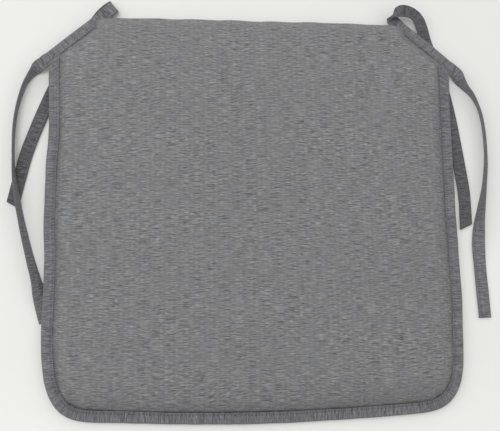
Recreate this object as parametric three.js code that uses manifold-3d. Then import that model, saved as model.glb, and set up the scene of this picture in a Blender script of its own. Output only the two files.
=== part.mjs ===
// A flat chair seat pad with four ties, in millimetres, +Z up.
// The origin is on the surface the pad lies on, under the middle of its outline; +Y is the rear edge.
//
// One cloth is folded over a foam slab at the rear edge. A tape is bound round the left side, the front and
// the right side. Each cut-off rear corner is bound by the middle of a tie tape, whose two ends run free.

import * as THREE from 'three';
import { mergeVertices } from 'three/addons/utils/BufferGeometryUtils.js';
import Module from 'manifold-3d';

const wasm = await Module();
wasm.setup();

// ---- Driving dimensions --------------------------------------------------------------------------------

const PAD_WIDTH = 400;
const PAD_DEPTH = 392;
const PAD_HEIGHT = 15;

const CHAMFER_ALONG_REAR = 40;
const CHAMFER_ALONG_SIDE = 36;
const FRONT_CORNER_LENGTH = 106;      // along the side
const FRONT_CORNER_WIDTH = 50;        // along the front
const FRONT_CORNER_SIDE_PULL = 0.79;  // Bezier handles, as shares of the corner's length and width
const FRONT_CORNER_FRONT_PULL = 0.72;
const FRONT_BOW = 5;                  // how far the front edge's middle stands ahead of its ends

const SEAM_HEIGHT = 6;                // middle of the sewn edge above the surface
const SHOULDER_WIDTH = 17;            // from the sewn edge to the flat of the pad
const REAR_ROLL = 17;                 // depth of the rounded rear fold
const SQUEEZED_FOLD = 15;             // rear edge beside each corner that the tie tape squeezes flat
const CORNER_LIFT = 3;                // the rear corners lie on the ties under them
const CORNER_LIFT_RADIUS = 70;
const CORNER_LIFT_FROM_SIDE = 22;
const CORNER_LIFT_FROM_REAR = 46;

const CLOTH = 0.7;
const CLOTH_SLIT = 0.4;               // between the two edges of cloth in the seam
const FOAM_CLEARANCE = 0.4;
const FOAM_FROM_BINDING = 3.2;        // the foam stops this far inside the binding

const TAPE = 0.85;                    // one layer of woven tape
const TAPE_CLEARANCE = 0.15;
const BINDING_WIDTH = 10;             // of tape seen on each face of the pad
const CLOTH_EDGE = 2.8;               // cloth edge inside the fold of the tape

const TIE_WIDTH = 12;                 // tape folded in half lengthwise
const TIE_THICKNESS = 1.6;
const TIE_SEAM_FROM_EDGE = 1.7;
const JOINT_GAP = 0.3;

const THREAD_WIDTH = 0.6;
const THREAD_HEIGHT = 0.25;
const THREAD_CLEARANCE = 0.2;
const BINDING_SEAM_FROM_EDGE = 1.5;   // stitch row from the inner edge of the binding

// ---- Ties: route of each free tail ---------------------------------------------------------------------
// A station is [x, y, z, face x, face y, face z]. x and y are measured from where the tape's middle leaves
// the pad, z from the surface. The face is where the tape's upper side looks: up when it lies flat,
// sideways when it stands on edge, down once it has folded over.

const LEFT_SIDE_ROUTE = [
  [0, 0, 8.0, 0, 0, 1],
  [-2.2, -2.0, 8.0, 0, 0, 1],
  [-5.0, -4.6, 7.6, 0.28, -0.3, 0.92],
  [-9.6, -9.4, 6.8, 0.66, -0.62, 0.4],
  [-14.2, -15.6, 6.5, 0.8, -0.58, 0.1],
  [-17.8, -22.5, 6.5, 0.88, -0.46, 0],
  [-21.2, -33, 6.4, 0.95, -0.3, -0.05],
  [-24.0, -45, 6.3, 0.97, -0.2, -0.09],
  [-26.0, -61, 6.3, 0.99, -0.08, -0.1],
  [-26.5, -78, 6.5, 0.99, 0, -0.11],
  [-25.7, -96, 7.3, 0.99, 0.05, -0.1],
  [-24.1, -113, 8.6, 0.99, 0.1, 0],
  [-21.0, -132, 9.0, 0.98, 0.1, 0.17],
  [-17.4, -150, 8.2, 0.96, 0.2, 0.22],
  [-12.9, -170, 6.6, 0.93, 0.2, 0.31],
  [-7.1, -192, 6.1, 0.89, 0.2, 0.4],
  [-0.6, -214, 5.5, 0.78, 0.15, 0.6],
  [2.0, -226, 4.2, 0.5, 0.1, 0.85],
  [5.0, -238, 2.2, 0.17, 0.04, 0.98],
  [8.4, -251, 1.4, 0, 0, 1],
];

const LEFT_REAR_ROUTE = [
  [0, 0, 6.3, 0, 0, 1],
  [2.6, 2.35, 6.9, 0, 0, 1],
  [5.8, 5.6, 7.4, 0.2, 0.2, 0.95],
  [7.6, 8.8, 4.4, 0.66, 0.66, 0],
  [3.4, 8.6, 1.6, 0.2, 0.25, -0.95],
  [-3.0, 3.2, 1.35, 0, 0, -1],
  [-11.8, -9.6, 1.3, 0, 0, -1],
  [-24.4, -31.4, 1.3, 0, 0, -1],
  [-37, -52.8, 1.3, 0, 0, -1],
  [-47.6, -74.5, 1.3, 0, 0, -1],
  [-55.2, -93, 1.3, 0, 0, -1],
  [-64.4, -118, 1.3, 0, 0, -1],
  [-72.6, -143.5, 1.3, 0, 0, -1],
  [-78.6, -170, 1.3, 0, 0, -1],
  [-83.2, -192.5, 1.3, 0, 0, -1],
];

const RIGHT_SIDE_ROUTE = [
  [0, 0, 8.0, 0, 0, 1],
  [2.2, -2.0, 8.0, 0, 0, 1],
  [4.6, -4.8, 7.2, -0.24, -0.26, 0.94],
  [7.8, -10.4, 6.4, -0.6, -0.58, 0.56],
  [13.2, -18.4, 6.4, -0.8, -0.6, 0.08],
  [19.6, -26.4, 6.4, -0.86, -0.49, -0.17],
  [24.4, -36.4, 6.3, -0.89, -0.33, -0.3],
  [27.6, -48.6, 6.3, -0.93, -0.15, -0.3],
  [29.3, -64, 6.3, -0.95, -0.05, -0.28],
  [29.6, -84, 6.3, -0.96, 0, -0.26],
  [28.4, -102, 6.3, -0.96, 0.05, -0.18],
  [25.4, -122, 6.3, -0.98, 0.05, -0.08],
  [21.4, -141, 6.3, -0.97, 0.15, 0.2],
  [17.9, -160, 5.4, -0.8, 0.1, 0.57],
  [16.6, -178, 3.1, -0.34, 0, 0.94],
  [17.1, -200, 1.4, 0, 0, 1],
  [17.8, -225, 1.3, 0, 0, 1],
  [18.6, -252, 1.3, 0, 0, 1],
];

const RIGHT_REAR_ROUTE = [
  [0, 0, 6.3, 0, 0, 1],
  [-1.9, 1.72, 6.3, 0, 0, 1],
  [-3.2, 3.6, 7.4, 0.4, -0.26, 0.86],
  [-2.2, 5.6, 10.6, 0.88, -0.44, 0],
  [0.8, 7.2, 13.7, 0.5, -0.22, -0.83],
  [5.8, 8.0, 15.2, 0, 0.1, -1],
  [11.6, 7.4, 15.2, 0, 0.1, -1],
  [18.6, 5.2, 13.2, 0, 0, -1],
  [24.4, 0.2, 10.2, 0, 0, -1],
  [28.6, -7.5, 6.8, 0, 0, -1],
  [32.2, -17.5, 3.3, 0, 0, -1],
  [36.2, -29, 2.0, 0, 0, -1],
  [40.2, -41, 1.4, 0, 0, -1],
  [44.8, -56.5, 1.3, 0, 0, -1],
  [49.4, -74, 1.3, 0, 0, -1],
  [53.7, -98, 1.3, 0, 0, -1],
  [57.2, -123, 1.3, 0, 0, -1],
  [61.0, -156, 1.3, 0, 0, -1],
  [63.4, -181, 1.3, 0, 0, -1],
  [63.2, -214, 1.3, 0, 0, -1],
];

const SIDE_TIE_STEPS = 72;
const REAR_TIE_STEPS = 100;

// ---- Materials -----------------------------------------------------------------------------------------

const woven = (color) => new THREE.MeshStandardMaterial({ color, roughness: 0.95, metalness: 0 });
const clothGrey = () => woven(0x7e7e80);
const tapeGrey = () => woven(0x707074);
const threadGrey = () => woven(0x505054);
const foamWhite = () => woven(0xe6e2d4);

// ---- The pad's outline ---------------------------------------------------------------------------------

const halfWidth = PAD_WIDTH / 2;
const halfDepth = PAD_DEPTH / 2;
const rearCorner = new THREE.Vector2(-(halfWidth - CHAMFER_ALONG_REAR), halfDepth);
const sideCorner = new THREE.Vector2(-halfWidth, halfDepth - CHAMFER_ALONG_SIDE);

/** The left half of the outline, from the middle of the rear edge to the middle of the front edge. */
function leftHalfOutline() {
  const cornerTop = new THREE.Vector2(-halfWidth, -halfDepth + FRONT_CORNER_LENGTH);
  const cornerEnd = new THREE.Vector2(-halfWidth + FRONT_CORNER_WIDTH, -halfDepth + FRONT_BOW);
  const bowSlope = (2 * FRONT_BOW) / Math.abs(cornerEnd.x);
  const frontPull = FRONT_CORNER_WIDTH * FRONT_CORNER_FRONT_PULL;
  const corner = new THREE.CubicBezierCurve(
    cornerTop,
    new THREE.Vector2(-halfWidth, cornerTop.y - FRONT_CORNER_LENGTH * FRONT_CORNER_SIDE_PULL),
    new THREE.Vector2(cornerEnd.x - frontPull, cornerEnd.y + frontPull * bowSlope),
    cornerEnd,
  );
  const front = new THREE.QuadraticBezierCurve(
    cornerEnd,
    new THREE.Vector2(cornerEnd.x / 2, -halfDepth),
    new THREE.Vector2(0, -halfDepth),
  );
  const squeezed = new THREE.Vector2(rearCorner.x + SQUEEZED_FOLD, halfDepth);
  const liftEnd = new THREE.Vector2(-halfWidth, sideCorner.y - CORNER_LIFT_RADIUS - JOINT_GAP);
  const stretches = [
    [new THREE.LineCurve(new THREE.Vector2(0, halfDepth), squeezed), 2, 0],
    [new THREE.LineCurve(squeezed, rearCorner), 2, 1],
    [new THREE.LineCurve(rearCorner, sideCorner), 5, 1],
    [new THREE.LineCurve(sideCorner, liftEnd), 7, 1],
    [new THREE.LineCurve(liftEnd, cornerTop), 1, 1],
    [corner, 8, 1],
    [front, 3, 1],
  ];
  const points = [];
  for (const [curve, segments, sewn] of stretches) {
    curve.getPoints(segments).slice(0, -1).forEach((p) => points.push({ x: p.x, y: p.y, sewn }));
  }
  points.push({ x: 0, y: -halfDepth, sewn: 1 });
  return points;
}

/** The whole outline, anticlockwise from the middle of the rear edge, with a mitred inward normal a point. */
function outline() {
  const left = leftHalfOutline();
  const right = left.slice(1, -1).reverse().map((p) => ({ ...p, x: -p.x }));
  const loop = [...left, ...right];
  return loop.map((p, i) => {
    const before = loop[(i + loop.length - 1) % loop.length];
    const after = loop[(i + 1) % loop.length];
    const n1 = new THREE.Vector2(-(p.y - before.y), p.x - before.x).normalize();
    const n2 = new THREE.Vector2(-(after.y - p.y), after.x - p.x).normalize();
    const mitre = n1.clone().add(n2).divideScalar(1 + n1.dot(n2));
    return { ...p, nx: mitre.x, ny: mitre.y };
  });
}

/** How far a rear corner is raised at (x, y): a smooth round hump beside each corner. */
function lift(x, y) {
  const fromCentre = Math.hypot(
    Math.abs(x) - (halfWidth - CORNER_LIFT_FROM_SIDE),
    y - (halfDepth - CORNER_LIFT_FROM_REAR),
  );
  return CORNER_LIFT * THREE.MathUtils.smoothstep(CORNER_LIFT_RADIUS - fromCentre, 0, CORNER_LIFT_RADIUS);
}

// ---- Sections through the edge -------------------------------------------------------------------------
// A section is a list of [inset from the outline, height], from the flat top round the edge to the bottom.

const SHOULDER_STEPS = [1, 0.56, 0.22];
const FOLD_ANGLES = [90, 62, 40, 20, 5];
const seamTop = SEAM_HEIGHT + CLOTH_SLIT / 2 + CLOTH;
const seamBottom = SEAM_HEIGHT - CLOTH_SLIT / 2 - CLOTH;
const seamEdge = BINDING_WIDTH + 0.6;
const foamEdge = BINDING_WIDTH + FOAM_FROM_BINDING;
const bindingSeam = BINDING_WIDTH - BINDING_SEAM_FROM_EDGE;

/** A point of the padded shoulder at share t of its width, skin deep: a parabola, steep at the seam. */
function shoulderPoint(t, from, to, skin) {
  const rise = to - from;
  const slope = (Math.abs(rise) * 2 * (1 - t)) / SHOULDER_WIDTH;
  const length = Math.hypot(1, slope);
  const inset = seamEdge + SHOULDER_WIDTH * t + (skin * slope) / length;
  const height = from + rise * t * (2 - t) - (Math.sign(rise) * skin) / length;
  return [inset, height];
}

/** The section where the edge is sewn flat; its last points are the given nose. */
function sewnSection(skin, upperNose, lowerNose) {
  const upper = SHOULDER_STEPS.map((t) => shoulderPoint(t, seamTop, PAD_HEIGHT, skin));
  const lower = SHOULDER_STEPS.map((t) => shoulderPoint(t, seamBottom, 0, skin)).reverse();
  return [...upper, ...upperNose, ...lowerNose, ...lower];
}

/** The section of the rear fold: a half ellipse, skin deep. */
function foldedSection(skin) {
  const point = (degrees) => {
    const angle = THREE.MathUtils.degToRad(degrees);
    const inset = skin + (REAR_ROLL - skin) * (1 - Math.cos(angle));
    return [inset, PAD_HEIGHT / 2 + (PAD_HEIGHT / 2 - skin) * Math.sin(angle)];
  };
  return [...FOLD_ANGLES.map(point), ...FOLD_ANGLES.map((a) => -a).reverse().map(point)];
}

const U_FOLD = [[BINDING_WIDTH, 1], [3, 1], [1.2, 0.9], [0.3, 0.5], [0, 0]];

/** The folded tape: a U lying on its side, its closed end on the outline. */
function bindingSection() {
  const outerHalf = CLOTH_SLIT / 2 + CLOTH + TAPE_CLEARANCE + TAPE;
  const innerHalf = outerHalf - TAPE;
  const outer = U_FOLD.map(([inset, share]) => [inset, outerHalf * share]);
  const inner = U_FOLD.map(([inset, share]) => [inset + TAPE * (1 - inset / BINDING_WIDTH), innerHalf * share]);
  const whole = (half) => [...half, ...half.slice(0, -1).reverse().map(([inset, h]) => [inset, -h])];
  const raise = ([inset, h]) => [inset, SEAM_HEIGHT + h];
  return { outer: whole(outer).map(raise), inner: whole(inner).map(raise) };
}

/** A thread lying on the tape: a small rectangle, above (side 1) or below (side -1) the seam. */
function threadSection(side) {
  const tapeFace = CLOTH_SLIT / 2 + CLOTH + TAPE_CLEARANCE + TAPE;
  const near = SEAM_HEIGHT + side * (tapeFace + THREAD_CLEARANCE);
  const far = near + side * THREAD_HEIGHT;
  const [high, low] = side > 0 ? [far, near] : [near, far];
  const [inward, outward] = [bindingSeam + THREAD_WIDTH / 2, bindingSeam - THREAD_WIDTH / 2];
  return { outer: [[inward, high], [outward, high]], inner: [[inward, low], [outward, low]] };
}

// ---- Bodies --------------------------------------------------------------------------------------------

function solid(vertices, triangles) {
  const geometry = new THREE.BufferGeometry();
  geometry.setAttribute('position', new THREE.Float32BufferAttribute(vertices.flat(), 3));
  geometry.setIndex(triangles.flat());
  geometry.computeVertexNormals();
  return geometry;
}

function manifoldOf(geometry) {
  const bare = geometry.clone();
  bare.deleteAttribute('normal');
  bare.deleteAttribute('uv');
  const merged = mergeVertices(bare, 1e-4);
  return new wasm.Manifold(new wasm.Mesh({
    numProp: 3,
    vertProperties: new Float32Array(merged.attributes.position.array),
    triVerts: new Uint32Array(merged.index.array),
  }));
}

function geometryOf(manifold) {
  const mesh = manifold.getMesh();
  const geometry = new THREE.BufferGeometry();
  geometry.setAttribute('position', new THREE.BufferAttribute(new Float32Array(mesh.vertProperties), 3));
  geometry.setIndex(new THREE.BufferAttribute(new Uint32Array(mesh.triVerts), 1));
  geometry.computeVertexNormals();
  return geometry;
}

const cut = (body, ...tools) => geometryOf(
  tools.reduce((rest, tool) => rest.subtract(manifoldOf(tool)), manifoldOf(body)),
);

/** Two triangles between neighbouring points of neighbouring rings, facing out. */
const quad = (a, b, c, d) => [[a, d, c], [a, c, b]];

const FLAT_RING_SHARE = 0.8;

/** A padded body: rings of the outline at each section point, closed over the flat top and bottom. */
function paddedBody(sewn, folded) {
  const loop = outline();
  const ring = (k) => loop.map((p) => {
    const inset = THREE.MathUtils.lerp(folded[k][0], sewn[k][0], p.sewn);
    const x = p.x + p.nx * inset;
    const y = p.y + p.ny * inset;
    return [x, y, THREE.MathUtils.lerp(folded[k][1], sewn[k][1], p.sewn) + lift(x, y)];
  });
  const rings = sewn.map((_, k) => ring(k));
  const flatRing = (edge, height) => edge.map(([x, y]) => {
    const [fx, fy] = [x * FLAT_RING_SHARE, y * FLAT_RING_SHARE];
    return [fx, fy, height + lift(fx, fy)];
  });
  const top = sewn[0][1];
  const bottom = sewn[sewn.length - 1][1];
  const all = [flatRing(rings[0], top), ...rings, flatRing(rings[rings.length - 1], bottom)];

  const count = loop.length;
  const vertices = [...all.flat(), [0, 0, top], [0, 0, bottom]];
  const topCentre = vertices.length - 2;
  const bottomCentre = vertices.length - 1;
  const last = (all.length - 1) * count;
  const triangles = [];
  for (let i = 0; i < count; i += 1) {
    const next = (i + 1) % count;
    triangles.push([topCentre, i, next], [bottomCentre, last + next, last + i]);
    for (let k = 0; k < all.length - 1; k += 1) {
      const [upper, lower] = [k * count, (k + 1) * count];
      triangles.push(...quad(upper + i, upper + next, lower + next, lower + i));
    }
  }
  return solid(vertices, triangles);
}

/** A strip: a thin section, given by its outer and inner lines, carried along an open stretch of outline. */
function stripAlong(path, { outer, inner }) {
  const section = [...outer, ...[...inner].reverse()];
  const count = section.length;
  const vertices = path.flatMap((p) => section.map(([inset, height]) => {
    const x = p.x + p.nx * inset;
    const y = p.y + p.ny * inset;
    return [x, y, height + lift(x, y)];
  }));
  const triangles = [];
  for (let i = 0; i < path.length - 1; i += 1) {
    for (let j = 0; j < count; j += 1) {
      const next = (j + 1) % count;
      const [near, far] = [i * count, (i + 1) * count];
      triangles.push(...quad(near + j, far + j, far + next, near + next));
    }
  }
  const last = (path.length - 1) * count;
  for (let j = 0; j < outer.length - 1; j += 1) {
    const [a, b, c, d] = [j, j + 1, count - 2 - j, count - 1 - j];
    triangles.push([a, c, b], [a, d, c], [last + a, last + b, last + c], [last + a, last + c, last + d]);
  }
  return solid(vertices, triangles);
}

/** The stretch of outline that the edge binding follows: left side, front and right side. */
function edgePath(startsBelowCorner) {
  const loop = outline();
  const isCorner = (p) => Math.abs(Math.abs(p.x) - halfWidth) < 1e-6 && Math.abs(p.y - sideCorner.y) < 1e-6;
  const first = loop.findIndex(isCorner);
  const last = loop.findLastIndex(isCorner);
  const end = (p) => ({ ...p, y: sideCorner.y - startsBelowCorner, nx: -Math.sign(p.x), ny: 0 });
  const between = loop.slice(first + 1, last).filter((p) => p.y < sideCorner.y - startsBelowCorner - JOINT_GAP);
  return [end(loop[first]), ...between, end(loop[last])];
}

// ---- The cut-off rear corners --------------------------------------------------------------------------

const chamfer = rearCorner.clone().sub(sideCorner).normalize();   // from the side towards the rear
const chamferInward = new THREE.Vector2(chamfer.y, -chamfer.x);

// How far the tape runs past each end of the cut-off corner before it is clear of the pad's outline.
const TIE_REACH = (BINDING_WIDTH + TIE_WIDTH) / 2;
const TAB_SIDE = TIE_REACH * (chamferInward.x / chamfer.x) + JOINT_GAP;
const TAB_REAR = TIE_REACH * (-chamferInward.y / chamfer.y) + JOINT_GAP;

/** Straight stretch along the left cut-off corner, run on past its ends, from the rear to the side. */
function chamferPath(pastRear, pastSide, segments) {
  const start = rearCorner.clone().addScaledVector(chamfer, pastRear);
  const end = sideCorner.clone().addScaledVector(chamfer, -pastSide);
  return new THREE.LineCurve(start, end).getPoints(segments)
    .map((p) => ({ x: p.x, y: p.y, nx: chamferInward.x, ny: chamferInward.y }));
}

/** Where the middle of the tie tape leaves the pad: past the corner's side end or its rear end. */
function tieExit(atSide) {
  const [corner, run] = atSide ? [sideCorner, -(TAB_SIDE + JOINT_GAP)] : [rearCorner, TAB_REAR + JOINT_GAP];
  return corner.clone().addScaledVector(chamfer, run).addScaledVector(chamferInward, BINDING_WIDTH / 2);
}

/** The same geometry on the right, with its faces still pointing out. */
function mirrored(geometry) {
  const copy = geometry.index ? geometry.clone() : mergeVertices(geometry);
  copy.applyMatrix4(new THREE.Matrix4().makeScale(-1, 1, 1));
  const index = copy.index.array;
  for (let i = 0; i < index.length; i += 3) [index[i], index[i + 1]] = [index[i + 1], index[i]];
  copy.computeVertexNormals();
  return copy;
}

// ---- The ties ------------------------------------------------------------------------------------------

/**
 * A smooth curve through a tie's stations, which turns its section so that the tape looks at each face.
 * The second station is swung about the exit into line with the cut-off corner, so the tape leaves straight.
 */
class TapeRoute extends THREE.CatmullRomCurve3 {
  constructor(stations, exit, heading) {
    super(stations.map(([x, y, z]) => new THREE.Vector3(exit.x + x, exit.y + y, z)));
    const reach = Math.hypot(stations[1][0], stations[1][1]);
    this.points[1].x = exit.x + heading.x * reach;
    this.points[1].y = exit.y + heading.y * reach;
    this.faces = new THREE.CatmullRomCurve3(stations.map((s) => new THREE.Vector3(s[3], s[4], s[5])));
  }

  computeFrenetFrames(segments) {
    const tangents = [];
    const normals = [];
    const binormals = [];
    for (let i = 0; i <= segments; i += 1) {
      const t = this.getUtoTmapping(i / segments);
      const tangent = this.getTangent(t);
      const face = this.faces.getPoint(t);
      face.addScaledVector(tangent, -face.dot(tangent)).normalize();
      tangents.push(tangent);
      normals.push(new THREE.Vector3().crossVectors(face, tangent));
      binormals.push(face);
    }
    return { tangents, normals, binormals };
  }
}

const sweep = (section, route, steps) => new THREE.ExtrudeGeometry(
  section,
  { steps, extrudePath: route, curveSegments: 1 },
);

/** The flattened tape's section, thinner at its long edges, with the bed of each thread row marked out. */
function tapeSection(openEdge) {
  const [w, h] = [TIE_WIDTH / 2, TIE_THICKNESS / 2];
  const seam = w - TIE_SEAM_FROM_EDGE;
  const beds = [openEdge * (seam + THREAD_WIDTH), openEdge * (seam - THREAD_WIDTH)].sort((a, b) => a - b);
  const lower = [[-w, 0], [-w + h / 2, -h], ...beds.map((x) => [x, -h]), [w - h / 2, -h], [w, 0]];
  const upper = lower.slice(1, -1).reverse().map(([x, y]) => [x, -y]);
  return new THREE.Shape([...lower, ...upper].map(([x, y]) => new THREE.Vector2(x, y)));
}

/** The section of a thread on the tape: side 1 on its face, -1 under it, near its open edge. */
function tieThreadSection(openEdge, side) {
  const x = openEdge * (TIE_WIDTH / 2 - TIE_SEAM_FROM_EDGE);
  const y = side * (TIE_THICKNESS / 2 + THREAD_CLEARANCE + THREAD_HEIGHT / 2);
  const [w, h] = [THREAD_WIDTH / 2, THREAD_HEIGHT / 2];
  const corners = [[x + w, y + h], [x + w, y - h], [x - w, y - h], [x - w, y + h]];
  return new THREE.Shape(corners.map(([u, v]) => new THREE.Vector2(u, v)));
}

// ---- Assembly ------------------------------------------------------------------------------------------

const pad = new THREE.Group();

function place(name, geometry, material) {
  const mesh = new THREE.Mesh(geometry, material);
  mesh.name = name;
  pad.add(mesh);
}

function makeFoam() {
  const skin = CLOTH + FOAM_CLEARANCE;
  const nose = (side) => [
    [foamEdge + 0.5, SEAM_HEIGHT + side * 1.3],
    [foamEdge, SEAM_HEIGHT + side * 0.5],
  ];
  const steps = sewnSection(skin, nose(1), nose(-1).reverse());
  const clear = steps.map(([inset, h]) => [Math.max(inset, foamEdge), h]);
  place('foam_core', paddedBody(clear, foldedSection(skin)), foamWhite());
}

function makeCover() {
  const seam = (skin, edge) => (side) => {
    const height = SEAM_HEIGHT + side * (CLOTH_SLIT / 2 + CLOTH - skin);
    return [[seamEdge + skin * 0.35, height], [edge, height]];
  };
  const outer = seam(0, CLOTH_EDGE);
  const inner = seam(CLOTH, -1);
  const shell = paddedBody(sewnSection(0, outer(1), outer(-1).reverse()), foldedSection(0));
  const hollow = paddedBody(sewnSection(CLOTH, inner(1), inner(-1).reverse()), foldedSection(CLOTH));
  place('cover', cut(shell, hollow), clothGrey());
}

/** The room that the tie tape takes across the end of the edge binding. */
function tieTapeRoom() {
  const reach = TAB_SIDE + TAB_REAR;
  const inward = TIE_REACH + JOINT_GAP;
  const room = { outer: [[inward, PAD_HEIGHT], [-inward, PAD_HEIGHT]], inner: [[inward, -1], [-inward, -1]] };
  return stripAlong(chamferPath(reach, reach, 1), room);
}

function makeEdgeBinding() {
  const room = tieTapeRoom();
  const strip = stripAlong(edgePath(0), bindingSection());
  place('edge_binding', cut(strip, room, mirrored(room)), tapeGrey());
  const threadStart = BINDING_WIDTH + TAB_SIDE;
  place('edge_needle_thread', stripAlong(edgePath(threadStart), threadSection(1)), threadGrey());
  place('edge_bobbin_thread', stripAlong(edgePath(threadStart), threadSection(-1)), threadGrey());
}

function makeCornerBindings() {
  const path = chamferPath(TAB_REAR, TAB_SIDE, 9);
  const pieces = [
    ['corner_binding', bindingSection(), tapeGrey],
    ['corner_needle_thread', threadSection(1), threadGrey],
    ['corner_bobbin_thread', threadSection(-1), threadGrey],
  ];
  for (const [name, section, material] of pieces) {
    const geometry = stripAlong(path, section);
    place(`left_${name}`, geometry, material());
    place(`right_${name}`, mirrored(geometry), material());
  }
}

/** A free tail and the two threads of its seam; openEdge is the side of its run that is stitched. */
function makeTie(name, stations, side, atSide, openEdge, steps) {
  const exit = tieExit(atSide);
  const away = atSide ? -1 : 1;
  const heading = { x: -side * away * chamfer.x, y: away * chamfer.y };
  const route = new TapeRoute(stations, { x: side * Math.abs(exit.x), y: exit.y }, heading);
  place(`${name}_tie`, sweep(tapeSection(openEdge), route, steps), tapeGrey());
  place(`${name}_tie_needle_thread`, sweep(tieThreadSection(openEdge, 1), route, steps), threadGrey());
  place(`${name}_tie_bobbin_thread`, sweep(tieThreadSection(openEdge, -1), route, steps), threadGrey());
}

makeFoam();
makeCover();
makeEdgeBinding();
makeCornerBindings();
makeTie('left_side', LEFT_SIDE_ROUTE, -1, true, 1, SIDE_TIE_STEPS);
makeTie('left_rear', LEFT_REAR_ROUTE, -1, false, -1, REAR_TIE_STEPS);
makeTie('right_side', RIGHT_SIDE_ROUTE, 1, true, -1, SIDE_TIE_STEPS);
makeTie('right_rear', RIGHT_REAR_ROUTE, 1, false, 1, REAR_TIE_STEPS);

export default pad;
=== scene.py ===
"""A flat chair seat pad with four fabric ties: its looks, in metres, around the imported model.

Every new piece is a surface worked out with numpy: a section carried along a path, or a grid of two
parameters. Lengths along a path are called run, and distances in from the pad's outline are called inset.
"""

import bpy
import numpy as np
from mathutils import Matrix, Vector


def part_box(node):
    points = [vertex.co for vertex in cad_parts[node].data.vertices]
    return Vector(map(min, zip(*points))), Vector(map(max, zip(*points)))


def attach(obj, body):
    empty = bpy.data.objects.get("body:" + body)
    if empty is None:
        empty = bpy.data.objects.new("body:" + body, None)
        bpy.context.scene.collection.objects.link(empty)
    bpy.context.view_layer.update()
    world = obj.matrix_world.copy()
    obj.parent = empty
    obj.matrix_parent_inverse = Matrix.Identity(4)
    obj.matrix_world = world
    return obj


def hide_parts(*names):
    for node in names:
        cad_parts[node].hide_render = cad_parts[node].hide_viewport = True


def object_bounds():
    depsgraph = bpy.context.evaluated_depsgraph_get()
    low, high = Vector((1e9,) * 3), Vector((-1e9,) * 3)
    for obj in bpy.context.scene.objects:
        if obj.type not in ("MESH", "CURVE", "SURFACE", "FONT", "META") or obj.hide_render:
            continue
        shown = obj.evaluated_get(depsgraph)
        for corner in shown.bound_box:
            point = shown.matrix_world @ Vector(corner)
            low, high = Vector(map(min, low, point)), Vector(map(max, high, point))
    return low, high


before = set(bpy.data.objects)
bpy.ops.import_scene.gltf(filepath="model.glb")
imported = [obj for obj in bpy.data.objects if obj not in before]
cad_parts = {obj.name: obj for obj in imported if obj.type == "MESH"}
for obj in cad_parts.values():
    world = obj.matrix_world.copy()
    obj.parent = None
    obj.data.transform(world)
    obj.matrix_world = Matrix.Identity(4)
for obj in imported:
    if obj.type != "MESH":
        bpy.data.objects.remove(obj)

cad_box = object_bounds()

MM = 0.001
BODY = "root"

# ---- Sizes ------------------------------------------------------------------------------------------------

EDGE_LOW, EDGE_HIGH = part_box("edge_binding")
HALF_WIDTH = EDGE_HIGH.x
FRONT_Y = EDGE_LOW.y
REAR_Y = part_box("cover")[1].y
PAD_HEIGHT = 15 * MM

CHAMFER_ALONG_REAR = 40 * MM
CHAMFER_ALONG_SIDE = 36 * MM
FRONT_CORNER_LENGTH = 106 * MM
FRONT_CORNER_WIDTH = 50 * MM
FRONT_CORNER_SIDE_PULL = 0.79
FRONT_CORNER_FRONT_PULL = 0.72
FRONT_BOW = 5 * MM

SEAM_HEIGHT = 6 * MM
SHOULDER_WIDTH = 17 * MM
REAR_ROLL = 17 * MM
SQUEEZED_FOLD = 15 * MM
CORNER_LIFT = 3 * MM
CORNER_LIFT_RADIUS = 70 * MM
CORNER_LIFT_FROM_SIDE = 22 * MM
CORNER_LIFT_FROM_REAR = 46 * MM

CLOTH = 0.7 * MM
CLOTH_SLIT = 0.4 * MM
CLOTH_EDGE = 2.8 * MM
BINDING_WIDTH = 10 * MM
BINDING_HALF = 1.9 * MM
BINDING_CAVITY = 1.05 * MM
BINDING_SEAM = 8.5 * MM

TIE_WIDTH = 12 * MM
TIE_HALF = 0.8 * MM
TIE_CAVITY = 0.06 * MM
TIE_SEAM_FROM_EDGE = 1.9 * MM

STITCH_PITCH = 3.2 * MM
STITCH_LENGTH = 2.7 * MM
THREAD_RADIUS = 0.30 * MM

# ---- Ties: route of each free tail ------------------------------------------------------------------------
# A station is [x, y, z, face x, face y, face z] in millimetres. x and y are measured from the tail's exit, z
# from the surface. The face is where the tape's upper side looks.

LEFT_SIDE_ROUTE = [
    [0, 0, 8.0, 0, 0, 1],
    [-2.2, -2.0, 8.0, 0, 0, 1],
    [-5.0, -4.6, 7.6, 0.28, -0.3, 0.92],
    [-9.6, -9.4, 6.8, 0.66, -0.62, 0.4],
    [-14.2, -15.6, 6.5, 0.8, -0.58, 0.1],
    [-17.8, -22.5, 6.5, 0.88, -0.46, 0],
    [-21.2, -33, 6.4, 0.95, -0.3, -0.05],
    [-24.0, -45, 6.3, 0.97, -0.2, -0.09],
    [-26.0, -61, 6.3, 0.99, -0.08, -0.1],
    [-26.5, -78, 6.5, 0.99, 0, -0.11],
    [-25.7, -96, 7.3, 0.99, 0.05, -0.1],
    [-24.1, -113, 8.6, 0.99, 0.1, 0],
    [-21.0, -132, 9.0, 0.98, 0.1, 0.17],
    [-17.4, -150, 8.2, 0.96, 0.2, 0.22],
    [-12.9, -170, 6.6, 0.93, 0.2, 0.31],
    [-7.1, -192, 6.1, 0.89, 0.2, 0.4],
    [-0.6, -214, 5.5, 0.78, 0.15, 0.6],
    [2.0, -226, 4.2, 0.5, 0.1, 0.85],
    [5.0, -238, 2.2, 0.17, 0.04, 0.98],
    [8.4, -251, 1.4, 0, 0, 1],
]

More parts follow.
